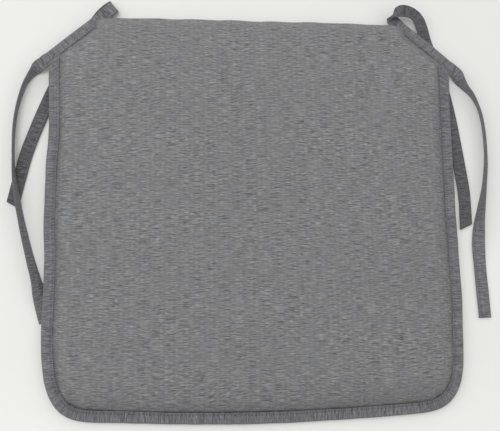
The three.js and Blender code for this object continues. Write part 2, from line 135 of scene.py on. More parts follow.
LEFT_REAR_ROUTE = [
    [0, 0, 6.3, 0, 0, 1],
    [2.6, 2.35, 6.9, 0, 0, 1],
    [5.8, 5.6, 7.4, 0.2, 0.2, 0.95],
    [7.6, 8.8, 4.4, 0.66, 0.66, 0],
    [3.4, 8.6, 1.6, 0.2, 0.25, -0.95],
    [-3.0, 3.2, 1.35, 0, 0, -1],
    [-11.8, -9.6, 1.3, 0, 0, -1],
    [-24.4, -31.4, 1.3, 0, 0, -1],
    [-37, -52.8, 1.3, 0, 0, -1],
    [-47.6, -74.5, 1.3, 0, 0, -1],
    [-55.2, -93, 1.3, 0, 0, -1],
    [-64.4, -118, 1.3, 0, 0, -1],
    [-72.6, -143.5, 1.3, 0, 0, -1],
    [-78.6, -170, 1.3, 0, 0, -1],
    [-83.2, -192.5, 1.3, 0, 0, -1],
]

RIGHT_SIDE_ROUTE = [
    [0, 0, 8.0, 0, 0, 1],
    [2.2, -2.0, 8.0, 0, 0, 1],
    [4.6, -4.8, 7.2, -0.24, -0.26, 0.94],
    [7.8, -10.4, 6.4, -0.6, -0.58, 0.56],
    [13.2, -18.4, 6.4, -0.8, -0.6, 0.08],
    [19.6, -26.4, 6.4, -0.86, -0.49, -0.17],
    [24.4, -36.4, 6.3, -0.89, -0.33, -0.3],
    [27.6, -48.6, 6.3, -0.93, -0.15, -0.3],
    [29.3, -64, 6.3, -0.95, -0.05, -0.28],
    [29.6, -84, 6.3, -0.96, 0, -0.26],
    [28.4, -102, 6.3, -0.96, 0.05, -0.18],
    [25.4, -122, 6.3, -0.98, 0.05, -0.08],
    [21.4, -141, 6.3, -0.97, 0.15, 0.2],
    [17.9, -160, 5.4, -0.8, 0.1, 0.57],
    [16.6, -178, 3.1, -0.34, 0, 0.94],
    [17.1, -200, 1.4, 0, 0, 1],
    [17.8, -225, 1.3, 0, 0, 1],
    [18.6, -252, 1.3, 0, 0, 1],
]

RIGHT_REAR_ROUTE = [
    [0, 0, 6.3, 0, 0, 1],
    [-1.9, 1.72, 6.3, 0, 0, 1],
    [-3.2, 3.6, 7.4, 0.4, -0.26, 0.86],
    [-2.2, 5.6, 10.6, 0.88, -0.44, 0],
    [0.8, 7.2, 13.7, 0.5, -0.22, -0.83],
    [5.8, 8.0, 15.2, 0, 0.1, -1],
    [11.6, 7.4, 15.2, 0, 0.1, -1],
    [18.6, 5.2, 13.2, 0, 0, -1],
    [24.4, 0.2, 10.2, 0, 0, -1],
    [28.6, -7.5, 6.8, 0, 0, -1],
    [32.2, -17.5, 3.3, 0, 0, -1],
    [36.2, -29, 2.0, 0, 0, -1],
    [40.2, -41, 1.4, 0, 0, -1],
    [44.8, -56.5, 1.3, 0, 0, -1],
    [49.4, -74, 1.3, 0, 0, -1],
    [53.7, -98, 1.3, 0, 0, -1],
    [57.2, -123, 1.3, 0, 0, -1],
    [61.0, -156, 1.3, 0, 0, -1],
    [63.4, -181, 1.3, 0, 0, -1],
    [63.2, -214, 1.3, 0, 0, -1],
]


# ---- Camera -----------------------------------------------------------------------------------------------

CAMERA_AT = (-69.3 * MM, -119.8 * MM, 666.3 * MM)
CAMERA_LOOKS_AT = (-6.12 * MM, -2.30 * MM, 5 * MM)
CAMERA_ROLL = -0.0165
CAMERA_LENS = 50.4
SENSOR_WIDTH = 36


def make_camera():
    """The camera above the pad. Its right and up are the level ones turned by the roll about the view."""
    data = bpy.data.cameras.new("camera")
    data.lens = CAMERA_LENS
    data.sensor_width = SENSOR_WIDTH
    data.clip_start = 0.01
    camera = bpy.data.objects.new("camera", data)
    bpy.context.scene.collection.objects.link(camera)
    at = Vector(CAMERA_AT)
    forward = (Vector(CAMERA_LOOKS_AT) - at).normalized()
    level_right = forward.cross(Vector((0, 1, 0))).normalized()
    level_up = level_right.cross(forward)
    right = level_right * np.cos(CAMERA_ROLL) + level_up * np.sin(CAMERA_ROLL)
    up = level_up * np.cos(CAMERA_ROLL) - level_right * np.sin(CAMERA_ROLL)
    camera.matrix_world = Matrix.Translation(at) @ Matrix((right, up, -forward)).transposed().to_4x4()
    bpy.context.scene.camera = camera


# ---- Numbers along lines ----------------------------------------------------------------------------------


def smoothstep(x, low, high):
    """0 below low, 1 above high, and 3t^2 - 2t^3 between, t being the share of the way."""
    t = np.clip((x - low) / (high - low), 0, 1)
    return t * t * (3 - 2 * t)


def unit(v):
    """Each row divided by its length."""
    return v / np.maximum(np.linalg.norm(v, axis=-1, keepdims=True), 1e-12)


def runs(points):
    """The length along a line of points up to each of them."""
    return np.concatenate([[0], np.cumsum(np.linalg.norm(np.diff(points, axis=0), axis=1))])


def at_runs(points, along, wanted):
    """Rows of points at the wanted runs, straight between the rows around each."""
    return np.stack([np.interp(wanted, along, column) for column in points.T], axis=1)


def ripple(run, wavelength, seed):
    """Smooth noise from -1 to 1 along a line: random values a wavelength apart, joined by cosine steps."""
    place = np.asarray(run, float) / wavelength
    low = np.floor(place).astype(int)
    first = low.min()
    values = np.random.default_rng(seed).uniform(-1, 1, low.max() - first + 2)
    ease = (1 - np.cos(np.pi * (place - low))) / 2
    return values[low - first] * (1 - ease) + values[low - first + 1] * ease


def swell(x, y, wavelength, seed):
    """Smooth noise over the plane: six sine waves of about one wavelength, in random directions, added."""
    draw = np.random.default_rng(seed)
    total = np.zeros_like(np.asarray(x, float))
    for _ in range(6):
        angle, phase = draw.uniform(0, 2 * np.pi, 2)
        number = 2 * np.pi / (wavelength * draw.uniform(0.75, 1.35))
        total = total + np.sin(number * (x * np.cos(angle) + y * np.sin(angle)) + phase)
    return total / 3


def through(stations, per_span):
    """A Catmull-Rom curve through rows of stations, with knots spaced by the root of the chord's length.

    Between two stations it blends three straight lines, then two, then one, as Barry and Goldman's pyramid
    does, so the columns past the first three are carried along with the place.
    """
    rows = np.vstack([2 * stations[0] - stations[1], stations, 2 * stations[-1] - stations[-2]])
    gaps = np.sqrt(np.linalg.norm(np.diff(rows[:, :3], axis=0), axis=1))
    knots = np.concatenate([[0], np.cumsum(gaps)])
    share = np.linspace(0, 1, per_span, endpoint=False)
    spans = np.arange(1, len(rows) - 2)
    t = (knots[spans, None] + share * (knots[spans + 1] - knots[spans])[:, None])[..., None]
    k = [knots[spans + j][:, None, None] for j in (-1, 0, 1, 2)]
    p = [rows[spans + j][:, None, :] for j in (-1, 0, 1, 2)]

    def mix(a, b, start, end):
        return (a * (end - t) + b * (t - start)) / (end - start)

    a = [mix(p[j], p[j + 1], k[j], k[j + 1]) for j in range(3)]
    b = [mix(a[j], a[j + 1], k[j], k[j + 2]) for j in range(2)]
    curve = mix(b[0], b[1], k[1], k[2]).reshape(-1, rows.shape[1])
    return np.vstack([curve, stations[-1]])


# ---- The pad's outline ------------------------------------------------------------------------------------

REAR_CORNER = np.array([-(HALF_WIDTH - CHAMFER_ALONG_REAR), REAR_Y])
SIDE_CORNER = np.array([-HALF_WIDTH, REAR_Y - CHAMFER_ALONG_SIDE])
CHAMFER = unit(REAR_CORNER - SIDE_CORNER)
CHAMFER_INWARD = np.array([CHAMFER[1], -CHAMFER[0]])
TIE_REACH = (BINDING_WIDTH + TIE_WIDTH) / 2
JOINT_GAP = 0.3 * MM
TAB_SIDE = TIE_REACH * CHAMFER_INWARD[0] / CHAMFER[0] + JOINT_GAP
TAB_REAR = TIE_REACH * -CHAMFER_INWARD[1] / CHAMFER[1] + JOINT_GAP
TIE_MIDDLE = BINDING_WIDTH / 2


def bezier(points, count):
    """A Bezier curve of any degree: points weighted by the binomial terms of share t."""
    t = np.linspace(0, 1, count, endpoint=False)[:, None]
    levels = [np.asarray(p, float)[None, :] for p in points]
    while len(levels) > 1:
        levels = [a * (1 - t) + b * t for a, b in zip(levels, levels[1:])]
    return levels[0]


def left_outline():
    """The left half of the outline as a fine line, from the middle of the rear to the middle of the front."""
    corner_top = np.array([-HALF_WIDTH, FRONT_Y + FRONT_CORNER_LENGTH])
    corner_end = np.array([-HALF_WIDTH + FRONT_CORNER_WIDTH, FRONT_Y + FRONT_BOW])
    front_pull = FRONT_CORNER_WIDTH * FRONT_CORNER_FRONT_PULL
    bow_slope = 2 * FRONT_BOW / abs(corner_end[0])
    handle_side = corner_top - [0, FRONT_CORNER_LENGTH * FRONT_CORNER_SIDE_PULL]
    handle_front = corner_end + [-front_pull, front_pull * bow_slope]
    stretches = [
        bezier([[0, REAR_Y], REAR_CORNER], 160),
        bezier([REAR_CORNER, SIDE_CORNER], 54),
        bezier([SIDE_CORNER, corner_top], 250),
        bezier([corner_top, handle_side, handle_front, corner_end], 160),
        bezier([corner_end, [corner_end[0] / 2, FRONT_Y], [0, FRONT_Y]], 150),
    ]
    starts = np.cumsum([len(stretch) for stretch in stretches])[:-1]
    return np.vstack([*stretches, [[0, FRONT_Y]]]), starts


HALF_LINE, STRETCH_STARTS = left_outline()
HALF_RUNS = runs(HALF_LINE)
REAR_CORNER_RUN, SIDE_CORNER_RUN, CORNER_START_RUN, CORNER_END_RUN = HALF_RUNS[STRETCH_STARTS]
OUTLINE_LENGTH = 2 * HALF_RUNS[-1]


# How far each sewn side wanders inwards: [y, inward] in millimetres, from the front to the rear corner.
LEFT_WANDER = np.array(
    [[-170, 0], [-120, 0.6], [-76, 1.6], [-42, 1.7], [-8, 0.1], [42, 0.2], [78, 1.6], [140, 0]]
)
RIGHT_WANDER = np.array(
    [[-170, 0], [-112, 2.0], [-80, 1.0], [-40, 1.5], [0, 1.9], [45, 1.0], [95, 0.8], [140, 0]]
)


def eased(x, knots):
    """Values at x from rows of [place, value], joined by cosine steps."""
    k = np.clip(np.searchsorted(knots[:, 0], x) - 1, 0, len(knots) - 2)
    share = np.clip((x - knots[k, 0]) / (knots[k + 1, 0] - knots[k, 0]), 0, 1)
    ease = (1 - np.cos(np.pi * share)) / 2
    return knots[k, 1] * (1 - ease) + knots[k + 1, 1] * ease


def outline_at(run):
    """Points of the whole outline at runs counted anticlockwise from the middle of the rear edge.

    The left half is mirrored to the right, and each side then wanders inwards by its own few values.
    """
    run = np.mod(run, OUTLINE_LENGTH)
    left = run <= HALF_RUNS[-1]
    point = at_runs(HALF_LINE, HALF_RUNS, np.where(left, run, OUTLINE_LENGTH - run))
    y = point[:, 1] / MM
    inward = np.where(left, eased(y, LEFT_WANDER), eased(y, RIGHT_WANDER)) * MM
    beside = smoothstep(-point[:, 0], 0.6 * HALF_WIDTH, 0.9 * HALF_WIDTH)
    point[:, 0] += inward * beside
    point[:, 0] *= np.where(left, 1, -1)
    return point


def inward_at(run, reach):
    """Unit normals into the pad, each square to the chord between the points a reach before and after."""
    chord = outline_at(run + reach) - outline_at(run - reach)
    return unit(np.stack([-chord[:, 1], chord[:, 0]], axis=1))


def lift(x, y):
    """How far a rear corner is raised: a smooth round hump beside each corner."""
    away = np.hypot(np.abs(x) - (HALF_WIDTH - CORNER_LIFT_FROM_SIDE), y - (REAR_Y - CORNER_LIFT_FROM_REAR))
    return CORNER_LIFT * smoothstep(CORNER_LIFT_RADIUS - away, 0, CORNER_LIFT_RADIUS)


# ---- Meshes -----------------------------------------------------------------------------------------------


def add_uv(data, name, uv):
    """A UV map given point by point."""
    layer = data.uv_layers.new(name=name)
    corner = np.zeros(len(data.loops), np.int32)
    data.loops.foreach_get("vertex_index", corner)
    layer.data.foreach_set("uv", uv[corner].astype(np.float32).ravel())


def make_piece(name, points, faces, uv=None, material=None):
    """A mesh object of quads at the origin, smooth shaded, with a UV map given point by point."""
    data = bpy.data.meshes.new(name)
    data.from_pydata(points.tolist(), [], [face.tolist() for face in faces])
    if uv is not None:
        add_uv(data, "run", uv)
    data.shade_smooth()
    data.update()
    piece = bpy.data.objects.new(name, data)
    bpy.context.scene.collection.objects.link(piece)
    if material is not None:
        data.materials.append(material)
    return piece


def facing_out(points, faces):
    """The same quads, all turned round if the volume that they enclose comes out negative."""
    a, b, c, d = (points[faces[:, k]] for k in range(4))
    volume = np.einsum("ij,ij->", a, np.cross(b, c)) + np.einsum("ij,ij->", a, np.cross(c, d))
    return faces if volume > 0 else faces[:, ::-1]


def strip_faces(points, stations, around):
    """The quads of a closed section carried along a path, and the two caps that close its ends."""
    i, j = np.meshgrid(np.arange(stations - 1), np.arange(around), indexing="ij")
    here, ahead = i * around, (i + 1) * around
    after = (j + 1) % around
    quads = np.stack([here + j, here + after, ahead + after, ahead + j], axis=-1).reshape(-1, 4)
    outward = facing_out(points, quads)
    turn = 1 if outward is quads else -1
    ring = np.arange(around)
    caps = [ring[::-turn], (ring + (stations - 1) * around)[::turn]]
    return outward, caps


# ---- Tape -------------------------------------------------------------------------------------------------
# A tape is a strip folded in half lengthwise: a fold along one edge and two lips along the other. It follows
# a path of middle points, with a direction across, from fold to lips, and one that its upper face looks.

FACE_POINTS = 12
NOSE_POINTS = 6
INSIDE_POINTS = 5
STITCH_ROW_WIDTH = 1.0 * MM
TAPE_CROWN = 0.05
SHARP_ANGLE = np.radians(55)


class Path:
    """A line with directions: run, middle, across and face have a row for each station."""

    def __init__(self, middle, across, face):
        self.run = runs(middle)
        self.middle = middle
        self.across = unit(across)
        self.face = unit(face)

    def at(self, wanted):
        """Middle, across and face at the wanted runs, straight between stations."""
        middle = at_runs(self.middle, self.run, wanted)
        across = unit(at_runs(self.across, self.run, wanted))
        return middle, across, unit(at_runs(self.face, self.run, wanted))


def level_path(line, inward):
    """A path over a line of the pad's edge, at the height of its seam, with the fold out and the face up."""
    middle = np.column_stack([line, SEAM_HEIGHT + lift(line[:, 0], line[:, 1])])
    up = np.tile([0.0, 0.0, 1.0], (len(line), 1))
    return Path(middle, np.column_stack([inward, np.zeros(len(line))]), up)


def stitch_pull(run):
    """How hard the seam pulls, from 1 at the middle of a stitch to 0 between two: a cosine of the run."""
    return 0.5 + 0.5 * np.cos(2 * np.pi * run / STITCH_PITCH)


def tape_section(width, half, cavity, nose, dip, row):
    """The closed section at each station: distance from the fold, height over the middle, and side.

    It starts at the upper lip, goes over the face, round the fold and back under to the lower lip, and
    returns along the inside. A face is flat, with a faint crown and a bell-shaped dip along the stitch row.
    The fold is half an ellipse, nose long and half high; the inside is the same line drawn in by one layer.
    Side is 1 above the middle and -1 below it.
    """
    width, half, cavity, nose, dip, row = (v[:, None] for v in (width, half, cavity, nose, dip, row))
    layer = half - cavity
    share = np.linspace(1, 0, FACE_POINTS)[None, :]
    face_x = nose + (width - nose) * share
    face_y = half * (1 + TAPE_CROWN * np.sin(np.pi * share))
    face_y = face_y - dip * np.exp(-(((face_x - row) / STITCH_ROW_WIDTH) ** 2))
    angle = np.linspace(np.pi / 2, 0, NOSE_POINTS + 1)[None, 1:]
    lip_x = width + layer * np.array([[0.1, 0.38, 0.38]])
    lip_y = half - layer * np.array([[0.92, 0.7, 0.3]])
    outer_x = np.concatenate([lip_x, face_x, nose * (1 - np.cos(angle))], axis=1)
    outer_y = np.concatenate([lip_y, face_y, half * np.sin(angle)], axis=1)
    inner_share = np.linspace(1, 0, INSIDE_POINTS)[None, :]
    inner_angle = np.radians([[60, 30, 0]])
    inner_x = nose + (width - nose) * inner_share
    inner_x = np.concatenate([inner_x, nose - (nose - layer) * np.cos(inner_angle)], axis=1)
    inner_y = np.concatenate([cavity + 0 * inner_share, cavity * np.sin(inner_angle)], axis=1)
    x = np.concatenate([outer_x, outer_x[:, -2::-1], inner_x, inner_x[:, -2::-1]], axis=1)
    y = np.concatenate([outer_y, -outer_y[:, -2::-1], -inner_y, inner_y[:, -2::-1]], axis=1)
    return x, y, np.where(y >= 0, 1.0, -1.0)


def lifted(points, middle):
    """Points moved up by what the corner's lift is at each of them, beyond what it is at their middle."""
    extra = lift(points[..., 0], points[..., 1]) - lift(middle[:, 0], middle[:, 1])[:, None]
    return points + extra[..., None] * np.array([0, 0, 1])


def make_tape(name, path, section, fold_at, row, along=None, follow=1):
    """A folded tape: its section laid out at each station of the path, with flat ends.

    fold_at is how far the fold is from the path's middle, and row how far the stitch row is from the fold.
    along moves a point on along the path. follow is how closely the tape keeps, across its width, to the
    lifted corners of the pad.
    """
    x, y, side = section
    offset = (x - fold_at[:, None])[..., None]
    points = path.middle[:, None, :] + path.across[:, None, :] * offset + path.face[:, None, :] * y[..., None]
    if along is not None:
        tangent = unit(np.gradient(path.middle, axis=0))
        points = points + tangent[:, None, :] * along[..., None]
    points = points + (lifted(points, path.middle) - points) * np.reshape(follow, (-1, 1, 1))
    stations, around = x.shape
    uv = np.stack([np.broadcast_to(path.run[:, None], x.shape), side * x], axis=-1).reshape(-1, 2)
    points = points.reshape(-1, 3)
    quads, caps = strip_faces(points, stations, around)
    piece = make_piece(name, points, [*quads, *caps], uv, binding_tape)
    add_uv(piece.data, "seam", np.column_stack([uv[:, 0], (x - row[:, None]).ravel()]))
    piece.data.set_sharp_from_angle(angle=SHARP_ANGLE)
    return piece


# ---- Stitches ---------------------------------------------------------------------------------------------

STITCH_RINGS = 7
STITCH_SIDES = 6
STITCH_DROP = 1.8
STITCH_SWAY = 0.12 * MM


def make_stitches(name, path, start, end, offset, height, lifts=1):
    """One row of stitches: short lengths of thread, each sinking into the tape at both ends.

    Along a stitch, share t goes from -1 to 1. Its radius is the thread's times the fourth root of 1 - t^4,
    a hair more so that its ends stay open rings. Its middle drops by STITCH_DROP radii times t^4.
    """
    count = int((end - start) / STITCH_PITCH)
    pitch = (end - start) / count
    first = start + pitch * (np.arange(count) + 0.5)
    t = np.sin(np.linspace(-np.pi / 2, np.pi / 2, STITCH_RINGS))
    run = first[:, None] + STITCH_LENGTH / 2 * t
    middle, across, face = path.at(run.ravel())
    side = np.sign(height)
    radius = THREAD_RADIUS * (1.0001 - t ** 4) ** 0.25 * np.ones((count, 1))
    arch = height - side * STITCH_DROP * THREAD_RADIUS * t ** 4 * np.ones((count, 1))
    sway = STITCH_SWAY * ripple(run.ravel(), STITCH_PITCH, len(name))
    base = middle + across * (offset + sway)[:, None] + face * arch.reshape(-1, 1)
    turn = np.linspace(0, 2 * np.pi, STITCH_SIDES, endpoint=False)
    ring = across[:, None, :] * np.cos(turn)[None, :, None] + face[:, None, :] * np.sin(turn)[None, :, None]
    points = base[:, None, :] + ring * radius.reshape(-1, 1, 1)
    if lifts:
        points = lifted(points, middle)
    points = points.reshape(count, -1, 3)
    quads, caps = strip_faces(points[0], STITCH_RINGS, STITCH_SIDES)
    shift = (np.arange(count) * STITCH_RINGS * STITCH_SIDES)[:, None]
    faces = [*(quads[None] + shift[:, None]).reshape(-1, 4), *(caps[0] + shift), *(caps[1] + shift)]
    along = np.repeat(run.ravel(), STITCH_SIDES)
    uv = np.stack([along, np.tile(turn * THREAD_RADIUS, count * STITCH_RINGS)], axis=1)
    return make_piece(name, points.reshape(-1, 3), faces, uv, sewing_thread)


def belongs(piece, slot, *nodes):
    """The piece rides on the pad and stands for these nodes; slot is not used."""
    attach(piece, BODY)
    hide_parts(*nodes)


def sew(name, path, start, end, offset, surface, lifts=1):
    """The needle's row of stitches on a tape's face and the bobbin's under it, a surface from its middle."""
    rows = []
    for row, side in (("needle", 1), ("bobbin", -1)):
        stitches = make_stitches(f"{name}_{row}_stitches", path, start, end, offset, side * surface, lifts)
        belongs(stitches, "sewing_thread", f"{name}_{row}_thread")
        rows.append(stitches)
    return rows


# ---- Node groups ------------------------------------------------------------------------------------------


class Nodes:
    """Short ways to add nodes to a tree. An input given as a socket is linked, as a value is set."""

    def __init__(self, tree):
        self.tree = tree

    def fill(self, node, inputs):
        """Links or sets the inputs of a node."""
        for key, value in inputs.items():
            if isinstance(value, bpy.types.NodeSocket):
                self.tree.links.new(value, node.inputs[key])
            else:
                node.inputs[key].default_value = value

    def add(self, kind, inputs, **settings):
        """A new node of a kind, with its settings and inputs."""
        node = self.tree.nodes.new("ShaderNode" + kind)
        for key, value in settings.items():
            setattr(node, key, value)
        self.fill(node, inputs)
        return node

    def group(self, tree, inputs):
        """The outputs of a group placed in this tree."""
        return self.add("Group", inputs, node_tree=tree).outputs

    def math(self, operation, a, b=0.0):
        return self.add("Math", {0: a, 1: b}, operation=operation).outputs[0]

    def plus(self, a, b):
        return self.math("ADD", a, b)

    def minus(self, a, b):
        return self.math("SUBTRACT", a, b)

    def times(self, product, *factors):
        """The product of two or more values."""
        for factor in factors:
            product = self.math("MULTIPLY", product, factor)
        return product

    def span(self, value, low, high, to_low, to_high):
        """A value carried from one range to another, and held at its ends."""
        inputs = {"Value": value, "From Min": low, "From Max": high, "To Min": to_low, "To Max": to_high}
        return self.add("MapRange", inputs, clamp=True).outputs[0]

    def vector(self, x, y, z=0.0):
        return self.add("CombineXYZ", {0: x, 1: y, 2: z}).outputs[0]

    def parts(self, vector):
        """The X, Y and Z of a vector."""
        return self.add("SeparateXYZ", {0: vector}).outputs

    def uv(self, name):
        """The X and Y of one of the piece's own UV maps."""
        return self.parts(self.add("UVMap", {}, uv_map=name).outputs[0])

    def place(self):
        """Where a point of the piece is, in metres."""
        return self.add("TexCoord", {}).outputs["Object"]

    def noise(self, place, scale=1.0, detail=2.0, roughness=0.5, dimensions="2D"):
        inputs = {"Vector": place, "Scale": scale, "Detail": detail, "Roughness": roughness}
        return self.add("TexNoise", inputs, noise_dimensions=dimensions).outputs[0]

    def blend(self, factor, a, b):
        """A colour between two others."""
        return self.add("Mix", {0: factor, 6: a, 7: b}, data_type="RGBA").outputs[2]

    def scaled(self, color, by):
        """A colour made lighter or darker."""
        return self.add("VectorMath", {0: color, "Scale": by}, operation="SCALE").outputs[0]

    def bump(self, shader, height, distance, strength):
        """Sends a height to the shader's normal."""
        node = self.add("Bump", {"Height": height, "Distance": distance, "Strength": strength})
        self.fill(shader, {"Normal": node.outputs[0]})


def new_group(name, inputs, outputs):
    """An empty shader node group with these sockets; it returns the tree, its input node and its Nodes."""
    tree = bpy.data.node_groups.new(name, "ShaderNodeTree")
    for label, kind, value in inputs:
        socket = tree.interface.new_socket(name=label, in_out="INPUT", socket_type=kind)
        if value is not None:
            socket.default_value = value
    for label, kind in outputs:
        tree.interface.new_socket(name=label, in_out="OUTPUT", socket_type=kind)
    return tree, tree.nodes.new("NodeGroupInput").outputs, Nodes(tree)


def close_group(tree, results):
    """Links each named result to the group's output."""
    Nodes(tree).fill(tree.nodes.new("NodeGroupOutput"), results)
    return tree


WEAVE_PITCH = 0.7 * MM
WEAVE_CHANGE = 0.2      # how softly warp and weft change places


def plain_weave_group():
    """Plain weave. In a checkerboard of cells a pitch wide, warp and weft take turns on top.

    The sign of sin(pi x / pitch) sin(pi y / pitch) says which is on top, and the thread on top is round
    across itself: the size of the sine across it.
    """
    tree, given, n = new_group(
        "plain_weave",
        [("Place", "NodeSocketVector", None), ("Pitch", "NodeSocketFloat", WEAVE_PITCH)],
        [("Height", "NodeSocketFloat")],
    )
    place = n.parts(given["Place"])
    waves = []
    for axis in ("X", "Y"):
        cells = n.math("DIVIDE", place[axis], given["Pitch"])
        waves.append(n.math("SINE", n.times(cells, float(np.pi))))
    top = n.span(n.times(*waves), -WEAVE_CHANGE, WEAVE_CHANGE, 0.0, 1.0)
    warp, weft = (n.math("ABSOLUTE", wave) for wave in waves)
    height = n.add("Mix", {0: top, 2: weft, 3: warp}, data_type="FLOAT").outputs[0]
    return close_group(tree, {"Height": height})


# What the slub cloth is made up of. Rates are per metre, and scales are against the coarse slub.
DRIFT_RATE = (9.0, 16.0)
DRIFT_SIZE = 12 * MM
FINE_SCALE, FINE_SHARE = 2.3, 0.8
HAIR_STRETCH, HAIR_SCALE = (1.6, 1.3), 1.7
HAIR_FROM, HAIR_TO, HAIR_LIGHT = 0.60, 0.74, 0.34
PATCH_RATE, PATCH_CALM, PATCH_LIVELY = 26.0, 0.82, 1.06
TINT_RATE, TINT_SHARE = 70.0, 0.7
# Painted shade between the weave's threads and painted light on their tops.
WEAVE_GAP_SHADE, WEAVE_TOP_LIGHT = 0.82, 1.1
SLUB_RELIEF = 2.0


def slub_cloth_group(weave):
    """Yarn-dyed cloth with slubs: short thick and thin places in the weft, longer than they are high.

    Place has the weft along X and the warp along Y, in metres. Two noises stretched along X, a coarse and a
    fine one, lighten and darken the colour, and a third adds thin pale hairs. A broad noise makes them calmer
    in patches, and another tints the cloth. The weft drifts slowly up and down.
    """
    tree, given, n = new_group(
        "slub_cloth",
        [
            ("Place", "NodeSocketVector", None),
            ("Base", "NodeSocketColor", (0.2, 0.2, 0.2, 1)),
            ("Tint", "NodeSocketColor", (0.2, 0.2, 0.22, 1)),
            ("Slub strength", "NodeSocketFloat", 1.0),
            ("Slub length", "NodeSocketFloat", 12 * MM),
            ("Slub height", "NodeSocketFloat", 1.5 * MM),
            ("Pitch", "NodeSocketFloat", WEAVE_PITCH),
        ],
        [("Color", "NodeSocketColor"), ("Roughness", "NodeSocketFloat"), ("Height", "NodeSocketFloat")],
    )
    place = n.parts(given["Place"])
    drift = n.noise(n.vector(n.times(place["X"], DRIFT_RATE[0]), n.times(place["Y"], DRIFT_RATE[1])))
    y = n.plus(place["Y"], n.times(n.minus(drift, 0.5), DRIFT_SIZE))
    long = n.math("DIVIDE", place["X"], given["Slub length"])
    high = n.math("DIVIDE", y, given["Slub height"])
    coarse = n.noise(n.vector(long, high), 1.0, 2.0, 0.55)
    fine = n.noise(n.vector(long, high), FINE_SCALE, 1.0)
    hair_place = n.vector(n.times(long, HAIR_STRETCH[0]), n.times(high, HAIR_STRETCH[1]))
    hair = n.span(n.noise(hair_place, HAIR_SCALE, 0.0), HAIR_FROM, HAIR_TO, 0.0, HAIR_LIGHT)
    patches = n.span(n.noise(given["Place"], PATCH_RATE), 0.36, 0.62, PATCH_CALM, PATCH_LIVELY)
    slub = n.plus(n.minus(coarse, 0.5), n.times(n.minus(fine, 0.5), FINE_SHARE))
    slub = n.times(n.plus(slub, hair), patches, given["Slub strength"])
    height = n.group(weave, {"Place": given["Place"], "Pitch": given["Pitch"]})["Height"]
    tint = n.span(n.noise(given["Place"], TINT_RATE, 3.0), 0.5, 0.8, 0.0, TINT_SHARE)
    # The slubs' own tone, times painted shade between the threads and painted light on their tops.
    light = n.times(n.plus(slub, 1.0), n.span(height, 0.0, 1.0, WEAVE_GAP_SHADE, WEAVE_TOP_LIGHT))
    results = {
        "Color": n.scaled(n.blend(tint, given["Base"], given["Tint"]), light),
        "Roughness": n.span(fine, 0.2, 0.8, 0.82, 0.96),
        "Height": n.plus(height, n.times(slub, SLUB_RELIEF)),
    }
    return close_group(tree, results)


RAG_RATE = (190.0, 120.0)
RAG_SIZE = 1.4 * MM
GROOVE_RIM = 0.5 * MM


def seam_shade_group():
    """How light the cloth is beside a seam: 1 less the dark of its groove and of its shoulder.

    Seam is (run, distance past the stitch row, share sewn). The groove is dark by Groove at Groove start and
    fades to nothing at Groove end, and dots a stitch apart darken it by Dots more. The shoulder is dark by
    Shoulder at the row and fades to nothing at Shoulder end. A noise makes the groove waver, come and go.
    """
    inputs = [("Seam", "NodeSocketVector", None)]
    for label in ("Groove start", "Groove end", "Groove", "Dots", "Shoulder end", "Shoulder"):
        inputs.append((label, "NodeSocketFloat", 0.0))
    tree, given, n = new_group("seam_shade", inputs, [("Light", "NodeSocketFloat")])
    seam = n.parts(given["Seam"])
    rag = n.noise(n.vector(n.times(seam["X"], RAG_RATE[0]), n.times(seam["Y"], RAG_RATE[1])))
    away = n.plus(seam["Y"], n.times(n.minus(rag, 0.5), RAG_SIZE))
    rim = n.minus(given["Groove start"], GROOVE_RIM)
    before = n.span(away, rim, given["Groove start"], 0.0, 1.0)
    after = n.span(away, given["Groove start"], given["Groove end"], 1.0, 0.0)
    phase = n.times(seam["X"], float(2 * np.pi / STITCH_PITCH))
    dot = n.span(n.math("COSINE", phase), -0.2, 1.0, 0.0, 1.0)
    deep = n.plus(given["Groove"], n.times(dot, given["Dots"]))
    deep = n.times(deep, n.span(rag, 0.3, 0.6, 0.7, 1.15))
    groove = n.times(before, after, deep, seam["Z"])
    shoulder = n.span(seam["Y"], 0.0, given["Shoulder end"], 1.0, 0.0)
    shoulder = n.times(shoulder, given["Shoulder"], seam["Z"])
    return close_group(tree, {"Light": n.minus(n.minus(1.0, groove), shoulder)})


def seam_light(n, uv, is_tape):
    """The painted shade by the seams: a tape's own stitch row and darker reverse, or the cover's sewn edge.

    Both have painted shade towards the front of the pad, and the cover some from its rear to its front.
    """
    seam = n.uv("seam")
    y = n.parts(n.place())["Y"]

    def from_front(start, end, at_front, elsewhere):
        return n.span(y, FRONT_Y + start, FRONT_Y + end, at_front, elsewhere)

    is_sewn = 1.0 if is_tape else n.span(seam["Y"], -0.5, 0.0, 0.0, 1.0)
    inputs = {"Seam": n.vector(seam["X"], seam["Y"], is_sewn)}
    for key, value in (TAPE_SHADE if is_tape else COVER_SHADE).items():
        inputs[key] = from_front(20 * MM, 50 * MM, *value) if isinstance(value, tuple) else value
    light = n.group(seam_shade, inputs)["Light"]
    if is_tape:
        # Painted shade: a tape's reverse face is darker.
        reverse = n.span(uv["Y"], -0.2 * MM, 0.2 * MM, TAPE_REVERSE_SHADE, 1.0)
        # Painted shade along the pad's front.
        return n.times(light, reverse, from_front(10 * MM, 45 * MM, TAPE_FRONT_SHADE, 1.0))
    # Painted shade along the cover's front, and a little from its rear to its front.
    near = from_front(12 * MM, 40 * MM, COVER_FRONT_SHADE, 1.0)
    return n.times(light, near, n.span(y, FRONT_Y, REAR_Y, COVER_REAR_TO_FRONT_SHADE, 1.0))


def new_material(name, color, roughness=0.9):
    """A material with a Principled shader; it returns the material, its Nodes and the shader."""
    material = bpy.data.materials.new(name)
    material.use_nodes = True
    material.diffuse_color = (*color, 1)
    material.node_tree.nodes.clear()
    n = Nodes(material.node_tree)
    shader = n.add("BsdfPrincipled", {"Roughness": roughness})
    n.add("OutputMaterial", {"Surface": shader.outputs[0]})
    return material, n, shader


CLOTH_FINISH = {"Sheen Weight": 0.12, "Sheen Roughness": 0.5, "Specular IOR Level": 0.2}


